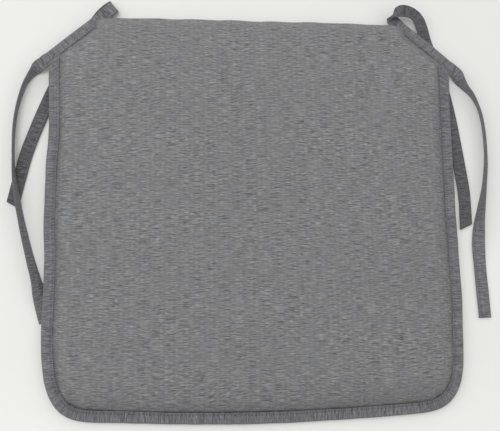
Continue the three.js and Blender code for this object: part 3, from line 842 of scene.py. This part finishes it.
def cloth_material(name, color, tint, crosswise, slub):
    """Slub cloth laid out on the piece's own UV map, with the weft along it or crosswise."""
    material, n, shader = new_material(name, color)
    uv = n.uv("run")
    place = n.vector(uv["Y"], uv["X"]) if crosswise else n.vector(uv["X"], uv["Y"])
    inputs = {"Place": place, "Base": (*color, 1), "Tint": (*tint, 1)}
    inputs.update(zip(("Slub strength", "Slub length", "Slub height"), slub))
    cloth = n.group(slub_cloth, inputs)
    shaded = n.scaled(cloth["Color"], seam_light(n, uv, crosswise))
    n.fill(shader, {"Base Color": shaded, "Roughness": cloth["Roughness"], **CLOTH_FINISH})
    n.bump(shader, cloth["Height"], 0.12 * MM, 0.8)
    return material


PLY_RATE = 7000.0
THREAD_GREY = (0.14, 0.14, 0.15)
THREAD_GROOVE_SHADE = (0.08, 0.08, 0.085, 1)
THREAD_BACK = (0.19, 0.19, 0.20, 1)
THREAD_PAINTED_LIGHT = (0.46, 0.46, 0.48, 1)


def thread_material():
    """Sewing thread: two plies that twist round it, light on their backs and painted dark between, as shade.

    It is painted paler towards the left rear corner, as painted light on that corner's stitches.
    """
    material, n, shader = new_material("sewing_thread", THREAD_GREY, 0.6)
    uv = n.uv("run")
    turns = n.plus(n.times(uv["X"], PLY_RATE), n.times(uv["Y"], 2 / THREAD_RADIUS))
    ply = n.math("ABSOLUTE", n.math("SINE", turns))
    place = n.parts(n.place())
    # Painted light: the thread is paler towards the left rear corner.
    to_left = n.span(place["X"], -60 * MM, -110 * MM, 0.0, 1.0)
    to_rear = n.span(place["Y"], 60 * MM, 110 * MM, 0.0, 1.0)
    back = n.blend(n.times(to_left, to_rear), THREAD_BACK, THREAD_PAINTED_LIGHT)
    # The grooves between the plies are painted dark, as shade.
    n.fill(shader, {"Base Color": n.blend(ply, THREAD_GROOVE_SHADE, back), "Sheen Weight": 0.3})
    n.bump(shader, ply, 0.06 * MM, 0.7)
    return material


CELL_RATE = 850.0
FOAM_WHITE = (0.78, 0.75, 0.66)
FOAM_CLEAN = (0.80, 0.77, 0.68, 1)
FOAM_AGED = (0.72, 0.66, 0.52, 1)
FOAM_PORE_SHADE = (0.42, 0.38, 0.30, 1)


def foam_material():
    """Open-cell foam: rounded cells about a millimetre wide, with painted shade in the pores between walls.
    """
    material, n, shader = new_material("foam", FOAM_WHITE)
    place = n.place()
    cells = n.add("TexVoronoi", {"Vector": place, "Scale": CELL_RATE, "Randomness": 0.9})
    wall = n.span(cells.outputs["Distance"], 0.1, 0.6, 0.0, 1.0)
    age = n.span(n.noise(place, 18.0, 3.0, 0.6, "3D"), 0.35, 0.7, 0.0, 1.0)
    # The pores are painted dark, as shade; the aged tone is the foam's own.
    n.fill(shader, {"Base Color": n.blend(wall, FOAM_PORE_SHADE, n.blend(age, FOAM_CLEAN, FOAM_AGED))})
    n.bump(shader, wall, 0.4 * MM, 0.9)
    return material


FLOOR_COLOR = (0.86, 0.86, 0.845)
FLOOR_PAINTED_LIGHT = 1.06


def floor_material():
    """A pale, matt board, very slightly uneven in tone, with painted light in front of the pad."""
    material, n, shader = new_material("floor", FLOOR_COLOR, 0.95)
    place = n.place()
    tone = n.span(n.noise(place, 6.0, 4.0, 0.6, "3D"), 0.3, 0.7, 0.985, 1.01)
    # Painted light in front of the pad, thinning its shadow there.
    near = n.span(n.parts(place)["Y"], FRONT_Y - 60 * MM, FRONT_Y + 60 * MM, FLOOR_PAINTED_LIGHT, 1.0)
    n.fill(shader, {"Base Color": n.scaled(FLOOR_COLOR, n.times(tone, near)), "Specular IOR Level": 0.1})
    return material


COVER_GREY = (0.224, 0.222, 0.229)
COVER_TINT = (0.206, 0.208, 0.226)
TAPE_GREY = (0.170, 0.169, 0.182)
TAPE_TINT = (0.150, 0.150, 0.176)

# A slub's strength, length and height.
COVER_SLUB = (1.9, 12.5 * MM, 0.72 * MM)
TAPE_SLUB = (1.8, 13.0 * MM, 0.9 * MM)

# Where two values are given, the first holds along the front and the second elsewhere.
COVER_SHADE = {
    "Groove start": 0.0,
    "Groove end": (2.2 * MM, 4.4 * MM),
    "Groove": (0.62, 0.20),
    "Dots": (0.10, 0.06),
    "Shoulder end": 10 * MM,
    "Shoulder": 0.08,
}
TAPE_SHADE = {
    "Groove start": -0.7 * MM,
    "Groove end": 1.2 * MM,
    "Groove": (0.20, 0.04),
    "Dots": 0.34,
    "Shoulder end": 0.1 * MM,
    "Shoulder": 0.0,
}
# Painted shade on a tape's reverse face.
TAPE_REVERSE_SHADE = 0.66
# Painted shade towards the pad's front: on the tape, on the cover, and over the cover from rear to front.
TAPE_FRONT_SHADE = 0.92
COVER_FRONT_SHADE = 0.84
COVER_REAR_TO_FRONT_SHADE = 0.92

slub_cloth = slub_cloth_group(plain_weave_group())
seam_shade = seam_shade_group()
cover_cloth = cloth_material("cover_cloth", COVER_GREY, COVER_TINT, False, COVER_SLUB)
binding_tape = cloth_material("binding_tape", TAPE_GREY, TAPE_TINT, True, TAPE_SLUB)
sewing_thread = thread_material()
foam_cells = foam_material()


# ---- Ties -------------------------------------------------------------------------------------------------

TIE_STEP = 0.9 * MM
POINTS_PER_SPAN = 60
TIE_NOSE = 1.3 * MM
TIE_DIP = 0.14 * MM
SPLAY_LENGTH = 7 * MM
SPLAY_HALF = 0.25 * MM
SPLAY_CAVITY = 0.3 * MM


def tie_path(stations, exit):
    """The route of a tail: the stations joined by a smooth curve, sampled every tie step."""
    stations = np.array(stations, float)
    stations[:, :3] *= MM
    stations[:, :2] += exit
    fine = through(stations, POINTS_PER_SPAN)
    length = runs(fine[:, :3])
    fine = at_runs(fine, length, np.linspace(0, length[-1], int(length[-1] / TIE_STEP)))
    middle = fine[:, :3]
    tangent = unit(np.gradient(middle, axis=0))
    face = fine[:, 3:]
    face = unit(face - (face * tangent).sum(axis=1, keepdims=True) * tangent)
    return Path(middle, np.cross(face, tangent), face)


def make_tie(name, stations, exit, lips, slant, seed):
    """A free tail and its two rows of stitches.

    lips is the side of its run, 1 or -1, that the lips are on. Its layers part over the last few
    millimetres, and the cut runs on by slant times the distance towards the lips.
    """
    path = tie_path(stations, exit)
    path.across *= lips
    run = path.run
    full = np.ones_like(run)
    parting = smoothstep(run, run[-1] - SPLAY_LENGTH, run[-1])
    width = TIE_WIDTH * (1 + 0.02 * ripple(run, 14 * MM, seed))
    half = TIE_HALF * (1 + 0.07 * ripple(run, 9 * MM, seed + 1)) + SPLAY_HALF * parting
    cavity = TIE_CAVITY * full + SPLAY_CAVITY * parting
    dip = TIE_DIP * (0.7 + 0.5 * stitch_pull(run))
    row = width - TIE_SEAM_FROM_EDGE
    section = tape_section(width, half, cavity, TIE_NOSE * full, dip, row)
    cut = smoothstep(run, run[-1] - TIE_WIDTH, run[-1])[:, None]
    along = slant * cut * (section[0] - TIE_WIDTH / 2)
    tie = make_tape(f"{name}_tie_tail", path, section, width / 2, row, along, follow=0 * full)
    offset = TIE_WIDTH / 2 - TIE_SEAM_FROM_EDGE
    surface = TIE_HALF - 0.1 * MM
    threads = sew(f"{name}_tie", path, 1 * MM, run[-1] - 2 * MM, offset, surface, lifts=0)
    belongs(tie, "binding_tape", f"{name}_tie")


make_camera()

side_exit = SIDE_CORNER - CHAMFER * (TAB_SIDE + JOINT_GAP) + CHAMFER_INWARD * TIE_MIDDLE
rear_exit = REAR_CORNER + CHAMFER * (TAB_REAR + JOINT_GAP) + CHAMFER_INWARD * TIE_MIDDLE
to_right = np.array([-1, 1])
make_tie("left_side", LEFT_SIDE_ROUTE, side_exit, 1, 0.0, 11)
make_tie("left_rear", LEFT_REAR_ROUTE, rear_exit, -1, 0.32, 23)
make_tie("right_side", RIGHT_SIDE_ROUTE, side_exit * to_right, -1, 0.0, 37)
make_tie("right_rear", RIGHT_REAR_ROUTE, rear_exit * to_right, 1, 0.48, 41)


# ---- Edge binding and corner bindings ---------------------------------------------------------------------

EDGE_STEP = 1.3 * MM
EDGE_START = 9.4 * MM
EDGE_NOSE = 2.4 * MM
EDGE_SEAM_START = 6 * MM
SKEW_LENGTH = 34 * MM
PRESSED = 0.55


def edge_path():
    """The outline from just below the left side corner round the front to the right one, fold outwards."""
    start = SIDE_CORNER_RUN + EDGE_START
    end = OUTLINE_LENGTH - start
    run = np.linspace(start, end, int((end - start) / EDGE_STEP))
    line = outline_at(run)
    inward = inward_at(run, 3 * MM)
    uneven = 0.35 * MM * ripple(run, 48 * MM, 5) + 0.12 * MM * ripple(run, 11 * MM, 6)
    return level_path(line + inward * uneven[:, None], inward), run


def corner_bend(run):
    """1 in the rounded front corners, 0 along the straight edges."""
    middle = (CORNER_START_RUN + CORNER_END_RUN) / 2
    reach = (CORNER_END_RUN - CORNER_START_RUN) / 2
    from_left = np.abs(np.minimum(run, OUTLINE_LENGTH - run) - middle)
    return 1 - smoothstep(from_left, 0.6 * reach, 1.2 * reach)


def make_edge_binding():
    """The binding of the sides and the front: a folded tape over the sewn edge, and its two stitch rows.

    Its ends are skewed to run under the tie tape of each corner, where it is pressed flat.
    """
    path, outline_run = edge_path()
    run = path.run
    full = np.ones_like(run)
    bend = corner_bend(outline_run)
    puff = ripple(outline_run, 7 * MM, 7) * (0.06 + 0.10 * bend) + ripple(outline_run, 23 * MM, 8) * 0.05
    half = BINDING_HALF * (1 + puff)
    dip = (0.22 + 0.16 * stitch_pull(run) + 0.2 * bend) * MM
    width = BINDING_WIDTH * (1 + 0.025 * ripple(outline_run, 17 * MM, 9))
    section = tape_section(width, half, BINDING_CAVITY * full, EDGE_NOSE * full, dip, BINDING_SEAM * full)
    from_end = np.minimum(run, run[-1] - run)
    skew = (CHAMFER_INWARD[0] / CHAMFER_INWARD[1]) * (1 - smoothstep(from_end, 0, SKEW_LENGTH))
    toward_end = np.where(run < run[-1] / 2, 1, -1)
    along = (skew * toward_end)[:, None] * section[0]
    under = 1 - PRESSED * (1 - smoothstep(from_end, 2.4 * MM, 4.6 * MM))[:, None]
    section = (section[0], section[1] * under, section[2])
    binding = make_tape("binding_edge", path, section, 0 * full, BINDING_SEAM * full, along)
    belongs(binding, "binding_tape", "edge_binding")
    sew("edge", path, EDGE_SEAM_START, run[-1] - EDGE_SEAM_START, BINDING_SEAM, BINDING_HALF - 0.2 * MM)


def make_corner_binding(name, mirror, seed):
    """The tie tape over a cut-off rear corner, from the exit of its rear tail to that of its side tail.

    Over the corner it is a wide fold with the pad's edge in it. Past each end it closes to the flat, wider
    fold of the tail.
    """
    start, end = rear_exit, side_exit
    length = np.linalg.norm(end - start)
    run = np.linspace(0, length, int(length / (0.8 * MM)))
    line = start + (end - start) * (run / length)[:, None]
    inward = np.tile(CHAMFER_INWARD, (len(run), 1))
    path = level_path(line * mirror, inward * mirror)
    closing = smoothstep(run, length - TAB_SIDE, length - 0.5 * MM)
    over_pad = smoothstep(run, 0.5 * MM, TAB_REAR) * (1 - closing)

    def between(tie, binding):
        return tie + (binding - tie) * over_pad

    width = between(TIE_WIDTH, BINDING_WIDTH)
    half = between(TIE_HALF, BINDING_HALF + 0.25 * MM) * (1 + 0.05 * over_pad * ripple(run, 8 * MM, seed))
    cavity = between(TIE_CAVITY, BINDING_CAVITY + 0.2 * MM)
    row = width - between(TIE_SEAM_FROM_EDGE, BINDING_WIDTH - BINDING_SEAM)
    dip = between(TIE_DIP, 0.3 * MM) * (0.7 + 0.5 * stitch_pull(run))
    section = tape_section(width, half, cavity, between(TIE_NOSE, EDGE_NOSE), dip, row)
    binding = make_tape(f"binding_{name}_corner", path, section, width / 2, row, follow=over_pad)
    belongs(binding, "binding_tape", f"{name}_corner_binding")
    offset = BINDING_SEAM - BINDING_WIDTH / 2
    surface = BINDING_HALF + 0.05 * MM
    sew(f"{name}_corner", path, TAB_REAR, length - TAB_SIDE, offset, surface)


make_edge_binding()
make_corner_binding("left", np.array([1, 1]), 51)
make_corner_binding("right", to_right, 53)


# ---- The padded cover and its foam ------------------------------------------------------------------------

SEAM_EDGE = BINDING_WIDTH + 0.6 * MM
SHOULDER_STEPS = 8
HIDDEN_SEAM = [8.0 * MM, 5.4 * MM, 3.4 * MM, CLOTH_EDGE]
HIDDEN_TAPER = [0, 0, 0.05 * MM, 0.45 * MM]
CORNER_REACH = 17 * MM
PIN_FROM = SHOULDER_STEPS - 1
LEAST_SEAM = 0.05 * MM
NOSE_OUT = 0.15 * MM


def edge_sections(skin, keep_in):
    """The sewn and the folded section of the pad's edge, skin deep: (inset, height) from top to bottom.

    Sewn: a shoulder that falls as a parabola to the seam, which is flat and ends in the binding. Folded: half
    an ellipse. keep_in is the least inset of the sewn section. Both have as many points.
    """
    half_seam = CLOTH_SLIT / 2 + CLOTH
    t = np.linspace(1, 0, SHOULDER_STEPS + 1)[1:]
    sewn = []
    for side, flat in ((1, PAD_HEIGHT), (-1, 0.0)):
        rise = flat - (SEAM_HEIGHT + side * half_seam)
        slope = np.abs(rise) * 2 * (1 - t) / SHOULDER_WIDTH
        length = np.hypot(1, slope)
        inset = SEAM_EDGE + SHOULDER_WIDTH * t + skin * slope / length
        height = SEAM_HEIGHT + side * half_seam + rise * t * (2 - t) - side * skin / length
        from_seam = half_seam - skin - np.array(HIDDEN_TAPER)
        from_seam = np.where(from_seam < 0, LEAST_SEAM, from_seam)
        inset = np.maximum(np.concatenate([inset, HIDDEN_SEAM]), keep_in)
        height = np.concatenate([height, SEAM_HEIGHT + side * from_seam])
        sewn.append(np.column_stack([inset, height]))
    nose = [[max(CLOTH_EDGE, keep_in) - NOSE_OUT, SEAM_HEIGHT]]
    sewn = np.vstack([sewn[0], nose, sewn[1][::-1]])
    count = len(sewn) // 2 + 1
    angle = np.radians(90 * (1 - np.arange(1, count + 1) / count))
    inset = skin + (REAR_ROLL - skin) * (1 - np.cos(angle))
    height = (PAD_HEIGHT / 2 - skin) * np.sin(angle)
    upper = np.column_stack([inset, PAD_HEIGHT / 2 + height])
    lower = np.column_stack([inset, PAD_HEIGHT / 2 - height])[-2::-1]
    return sewn, np.vstack([upper, lower])


def reach_out(start, rings):
    """The length along the section from the start line to each ring."""
    steps = np.diff(np.concatenate([start[None], rings]), axis=0)
    return np.cumsum(np.linalg.norm(steps, axis=2), axis=0)


def shell_faces(cells, levels):
    """The quads of the pad's skin: the top grid, the bands between its levels of rings, and the bottom."""
    side = cells + 1
    k = np.arange(cells)
    loop = np.concatenate([cells * side + cells - k, (cells - k) * side, k, k * side + cells])
    i, j = np.meshgrid(k, k)
    corner = (j * side + i).ravel()
    top = np.column_stack([corner, corner + 1, corner + 1 + side, corner + side])
    count, around = side ** 2, 4 * cells
    below = count + levels * around
    rings = count + np.arange(levels)[:, None] * around + np.arange(around)
    rings = np.vstack([loop, rings, below + loop])
    ahead = np.roll(rings, -1, axis=1)
    band = np.stack([rings[:-1], rings[1:], ahead[1:], ahead[:-1]], axis=-1).reshape(-1, 4)
    return np.vstack([top, band, top[:, ::-1] + below])


def pad_shell(cells, skin, keep_in):
    """The closed skin of the pad as a grid of quads: points, their flat places on the cloth, and faces.

    The top and the bottom are square grids of cells each way whose boundary is bent onto a ring inside the
    outline: a point of the grid goes from its even place in the middle to its share of the ring at the edge.
    Between the two boundaries, rings follow the edge's section. Also returned: how far each point is free.
    """
    sewn, folded = edge_sections(skin, keep_in)
    side_run = (REAR_CORNER_RUN + SIDE_CORNER_RUN) / 2
    front_run = (CORNER_START_RUN + CORNER_END_RUN) / 2
    stops = [-side_run, side_run, front_run, OUTLINE_LENGTH - front_run, OUTLINE_LENGTH - side_run]
    run = np.concatenate([np.linspace(a, b, cells, endpoint=False) for a, b in zip(stops, stops[1:])])
    line, inward = outline_at(run), inward_at(run, CORNER_REACH)
    from_rear = np.abs(np.mod(run + OUTLINE_LENGTH / 2, OUTLINE_LENGTH) - OUTLINE_LENGTH / 2)
    is_sewn = smoothstep(from_rear, REAR_CORNER_RUN - SQUEEZED_FOLD, REAR_CORNER_RUN)[None, :]
    inset = folded[:, :1] * (1 - is_sewn) + sewn[:, :1] * is_sewn
    height = folded[:, 1:] * (1 - is_sewn) + sewn[:, 1:] * is_sewn
    edge_inset = REAR_ROLL * (1 - is_sewn) + (SEAM_EDGE + SHOULDER_WIDTH) * is_sewn
    boundary = line + inward * edge_inset.T
    rings = line[None] + inward[None] * inset[..., None]

    share = np.linspace(-1, 1, cells + 1)
    v, u = np.meshgrid(share, share, indexing="ij")
    s = np.maximum(np.maximum(np.abs(u), np.abs(v)), 1e-9)
    pu, pv = u / s, v / s
    place = np.select(
        [pv >= 1 - 1e-9, pu <= -1 + 1e-9, pv <= -1 + 1e-9],
        [(1 - pu) / 2, 1 + (1 - pv) / 2, 2 + (1 + pu) / 2],
        3 + (1 + pv) / 2,
    ) * cells
    loop_x, loop_y = (np.append(boundary[:, k], boundary[0, k]) for k in (0, 1))
    ring_x, ring_y = (np.interp(place, np.arange(4 * cells + 1), loop) for loop in (loop_x, loop_y))
    centre = (loop_y.max() + loop_y.min()) / 2
    even_x, even_y = u * loop_x.max(), v * (loop_y.max() - centre)
    weight = s ** 2
    x = even_x * (1 - weight) + ring_x * s * weight
    y = centre + even_y * (1 - weight) + (ring_y - centre) * s * weight
    grid = np.stack([x, y], axis=-1).reshape(-1, 2)

    top = np.column_stack([grid, PAD_HEIGHT - skin + lift(*grid.T)])
    bottom = np.column_stack([grid, skin + lift(*grid.T)])
    band = np.concatenate([rings, (height + lift(rings[..., 0], rings[..., 1]))[..., None]], axis=-1)
    points = np.vstack([top, band.reshape(-1, 3), bottom])

    start = np.column_stack([boundary, PAD_HEIGHT - skin + lift(*boundary.T)])
    end = np.column_stack([boundary, skin + lift(*boundary.T)])
    level = np.arange(len(band))[:, None]
    reach = np.where(level <= len(band) // 2, reach_out(start, band), reach_out(end, band[::-1])[::-1])
    flat = boundary[None] - inward[None] * reach[..., None]
    uv = np.vstack([grid, flat.reshape(-1, 2), grid])

    pinned = (level >= PIN_FROM) & (level < len(band) - PIN_FROM)
    held = pinned * (is_sewn > 0.5)
    free = np.concatenate([np.ones(len(grid)), 1 - held.ravel(), np.zeros(len(grid))])
    return points, uv, shell_faces(cells, len(band)), free


# ---- Cloth simulation -------------------------------------------------------------------------------------

COVER_CELLS = 76
FOAM_CELLS = 36
SWELL_FRAMES = 20
CLOTH_SETTINGS = {
    "quality": 5,
    "mass": 0.3,
    "tension_stiffness": 20,
    "compression_stiffness": 20,
    "shear_stiffness": 8,
    "bending_stiffness": 0.6,
    "use_pressure": True,
    "uniform_pressure_force": 4.0,
    "shrink_min": -0.012,
    "vertex_group_mass": "held",
}
SWELL_CAP = 2.2 * MM
FOAM_GIVE = 0.25 * MM
FOAM_CLEAR = 0.9 * MM
FOAM_FROM_SEAM = 2.6 * MM
OUTLINE_SAMPLES = 1400
POINT_BATCHES = 40


def read_rows(items, key):
    """A vector of each item, such as a point's place or normal, as rows."""
    flat = np.zeros(len(items) * 3, np.float32)
    items.foreach_get(key, flat)
    return flat.reshape(-1, 3).astype(float)


def write_points(mesh, points):
    """Puts rows of places back into the mesh."""
    mesh.vertices.foreach_set("co", points.astype(np.float32).ravel())
    mesh.update()


def swollen(piece, free):
    """The cover's points after a short simulation: slack cloth pressed out from inside, its seams held.

    The foam holds the cloth out, so a move inwards along the normal is cut to a small give. A move is also
    capped softly: its length becomes cap times tanh(length / cap).
    """
    held = piece.vertex_groups.new(name="held")
    for weight in (0.0, 1.0):
        held.add(np.flatnonzero(free == 1 - weight).tolist(), weight, "REPLACE")
    cloth = piece.modifiers.new("cloth", "CLOTH")
    for key, value in CLOTH_SETTINGS.items():
        setattr(cloth.settings, key, value)
    cloth.settings.effector_weights.gravity = 0
    cloth.point_cache.frame_start = 1
    cloth.point_cache.frame_end = SWELL_FRAMES
    scene = bpy.context.scene
    rest = read_rows(piece.data.vertices, "co")
    for step in range(1, SWELL_FRAMES + 1):
        scene.frame_set(step)
    graph = bpy.context.evaluated_depsgraph_get()
    moved = read_rows(piece.evaluated_get(graph).data.vertices, "co") - rest
    piece.modifiers.remove(cloth)
    piece.vertex_groups.remove(held)
    scene.frame_set(1)
    normals = read_rows(piece.data.vertex_normals, "vector")
    outward = (moved * normals).sum(axis=1, keepdims=True)
    moved = moved + normals * (np.maximum(outward, -FOAM_GIVE) - outward)
    length = np.linalg.norm(moved, axis=1, keepdims=True)
    return rest + moved * SWELL_CAP * np.tanh(length / SWELL_CAP) / np.maximum(length, 1e-9)


def subdivided(piece):
    """The piece's mesh after one subdivision, applied."""
    subdivision = piece.modifiers.new("subdivision", "SUBSURF")
    subdivision.levels = subdivision.render_levels = 1
    graph = bpy.context.evaluated_depsgraph_get()
    fine = bpy.data.meshes.new_from_object(piece.evaluated_get(graph))
    piece.modifiers.remove(subdivision)
    coarse = piece.data
    piece.data = fine
    bpy.data.meshes.remove(coarse)
    fine.name = piece.name


def nearest_run(points):
    """For each point, the run of the nearest place of the outline and the distance to it."""
    run = np.linspace(0, OUTLINE_LENGTH, OUTLINE_SAMPLES, endpoint=False)
    line = outline_at(run)
    nearest, distance = [], []
    for part in np.array_split(points[:, :2], POINT_BATCHES):
        gap = np.linalg.norm(part[:, None, :] - line[None], axis=2)
        nearest.append(run[gap.argmin(axis=1)])
        distance.append(gap.min(axis=1))
    return np.concatenate(nearest), np.concatenate(distance)


def creased(points, normals, run, inset, is_sewn):
    """The cover's points with sewing puckers and soft unevenness, moved along their normals.

    Puckers are ripples along the seam that die away over the shoulder, larger round the front corners. The
    flat is uneven by two swells, a broad one and a small one.
    """
    bend = corner_bend(run)
    from_seam = inset - SEAM_EDGE
    near = smoothstep(from_seam, -1 * MM, 1 * MM) * np.exp(-np.clip(from_seam, 0, None) / (8 * MM))
    size = (0.28 + 0.5 * bend) * MM * is_sewn
    pucker = (ripple(run, 7 * MM, 71) + 0.6 * ripple(run, 15 * MM, 72)) * size * near
    x, y = points[:, 0], points[:, 1]
    inside = smoothstep(from_seam, 0, 25 * MM)
    uneven = (0.30 * swell(x, y, 85 * MM, 73) + 0.07 * swell(x, y, 24 * MM, 74)) * MM * inside
    hem = 0.3 * MM * swell(x, y, 30 * MM, 75) * (1 - is_sewn) * (1 - inside)
    return points + normals * (pucker + uneven + hem)[:, None]


def make_cover():
    """The cloth cover: swollen by simulation, subdivided, creased, and never below what it lies on."""
    points, uv, faces, free = pad_shell(COVER_CELLS, 0.0, 0.0)
    cover = make_piece("padded_cover", points, facing_out(points, faces), uv, cover_cloth)
    write_points(cover.data, swollen(cover, free))
    subdivided(cover)
    points = read_rows(cover.data.vertices, "co")
    normals = read_rows(cover.data.vertex_normals, "vector")
    run, inset = nearest_run(points)
    from_rear = np.minimum(run, OUTLINE_LENGTH - run)
    is_sewn = smoothstep(from_rear, REAR_CORNER_RUN - SQUEEZED_FOLD, REAR_CORNER_RUN)
    add_uv(cover.data, "seam", np.column_stack([run, inset - SEAM_EDGE - 0.5 * (1 - is_sewn)]))
    points = creased(points, normals, run, inset, is_sewn)
    points[:, 2] = np.maximum(points[:, 2], lift(points[:, 0], points[:, 1]))
    write_points(cover.data, points)
    belongs(cover, "cover_cloth", "cover")


def make_foam():
    """The foam slab inside, clear of the cloth all round."""
    points, uv, faces, _ = pad_shell(FOAM_CELLS, CLOTH + FOAM_CLEAR, SEAM_EDGE + FOAM_FROM_SEAM)
    foam = make_piece("foam_slab", points, facing_out(points, faces), uv, foam_cells)
    belongs(foam, "foam", "foam_core")


make_cover()
make_foam()


# ---- Floor and light --------------------------------------------------------------------------------------

FLOOR_SIZE = 6.0
FLOOR_GAP = 0.02 * MM
SKY_COLOR = (0.99, 1.0, 0.98, 1)
SKY_STRENGTH = 0.60


def make_floor():
    """A square of pale board just under the pad."""
    low = min(cad_box[0][2], 0) - FLOOR_GAP
    r = FLOOR_SIZE / 2
    points = np.array([[-r, -r, low], [r, -r, low], [r, r, low], [-r, r, low]])
    floor = make_piece("floor_board", points, np.array([[0, 1, 2, 3]]), None, floor_material())


def make_light(name, at, size, power, color):
    """A square area light that looks at the pad."""
    data = bpy.data.lights.new(name, "AREA")
    data.size = size
    data.energy = power
    data.color = color
    light = bpy.data.objects.new(name, data)
    bpy.context.scene.collection.objects.link(light)
    at = Vector(at)
    light.matrix_world = Matrix.Translation(at) @ at.to_track_quat("Z", "Y").to_matrix().to_4x4()


def make_world():
    """Even pale light from all round."""
    world = bpy.data.worlds.new("studio")
    world.use_nodes = True
    background = world.node_tree.nodes["Background"]
    background.inputs["Color"].default_value = SKY_COLOR
    background.inputs["Strength"].default_value = SKY_STRENGTH
    bpy.context.scene.world = world


bpy.context.scene.view_settings.view_transform = "Standard"
make_floor()
make_world()
make_light("key_light", (-0.55, 0.15, 2.1), 1.1, 15, (1, 1, 0.985))
make_light("left_light", (-1.7, 0.1, 1.4), 1.2, 6, (0.99, 0.99, 1))
make_light("right_light", (1.7, 0.1, 1.4), 1.2, 3, (0.99, 0.99, 1))
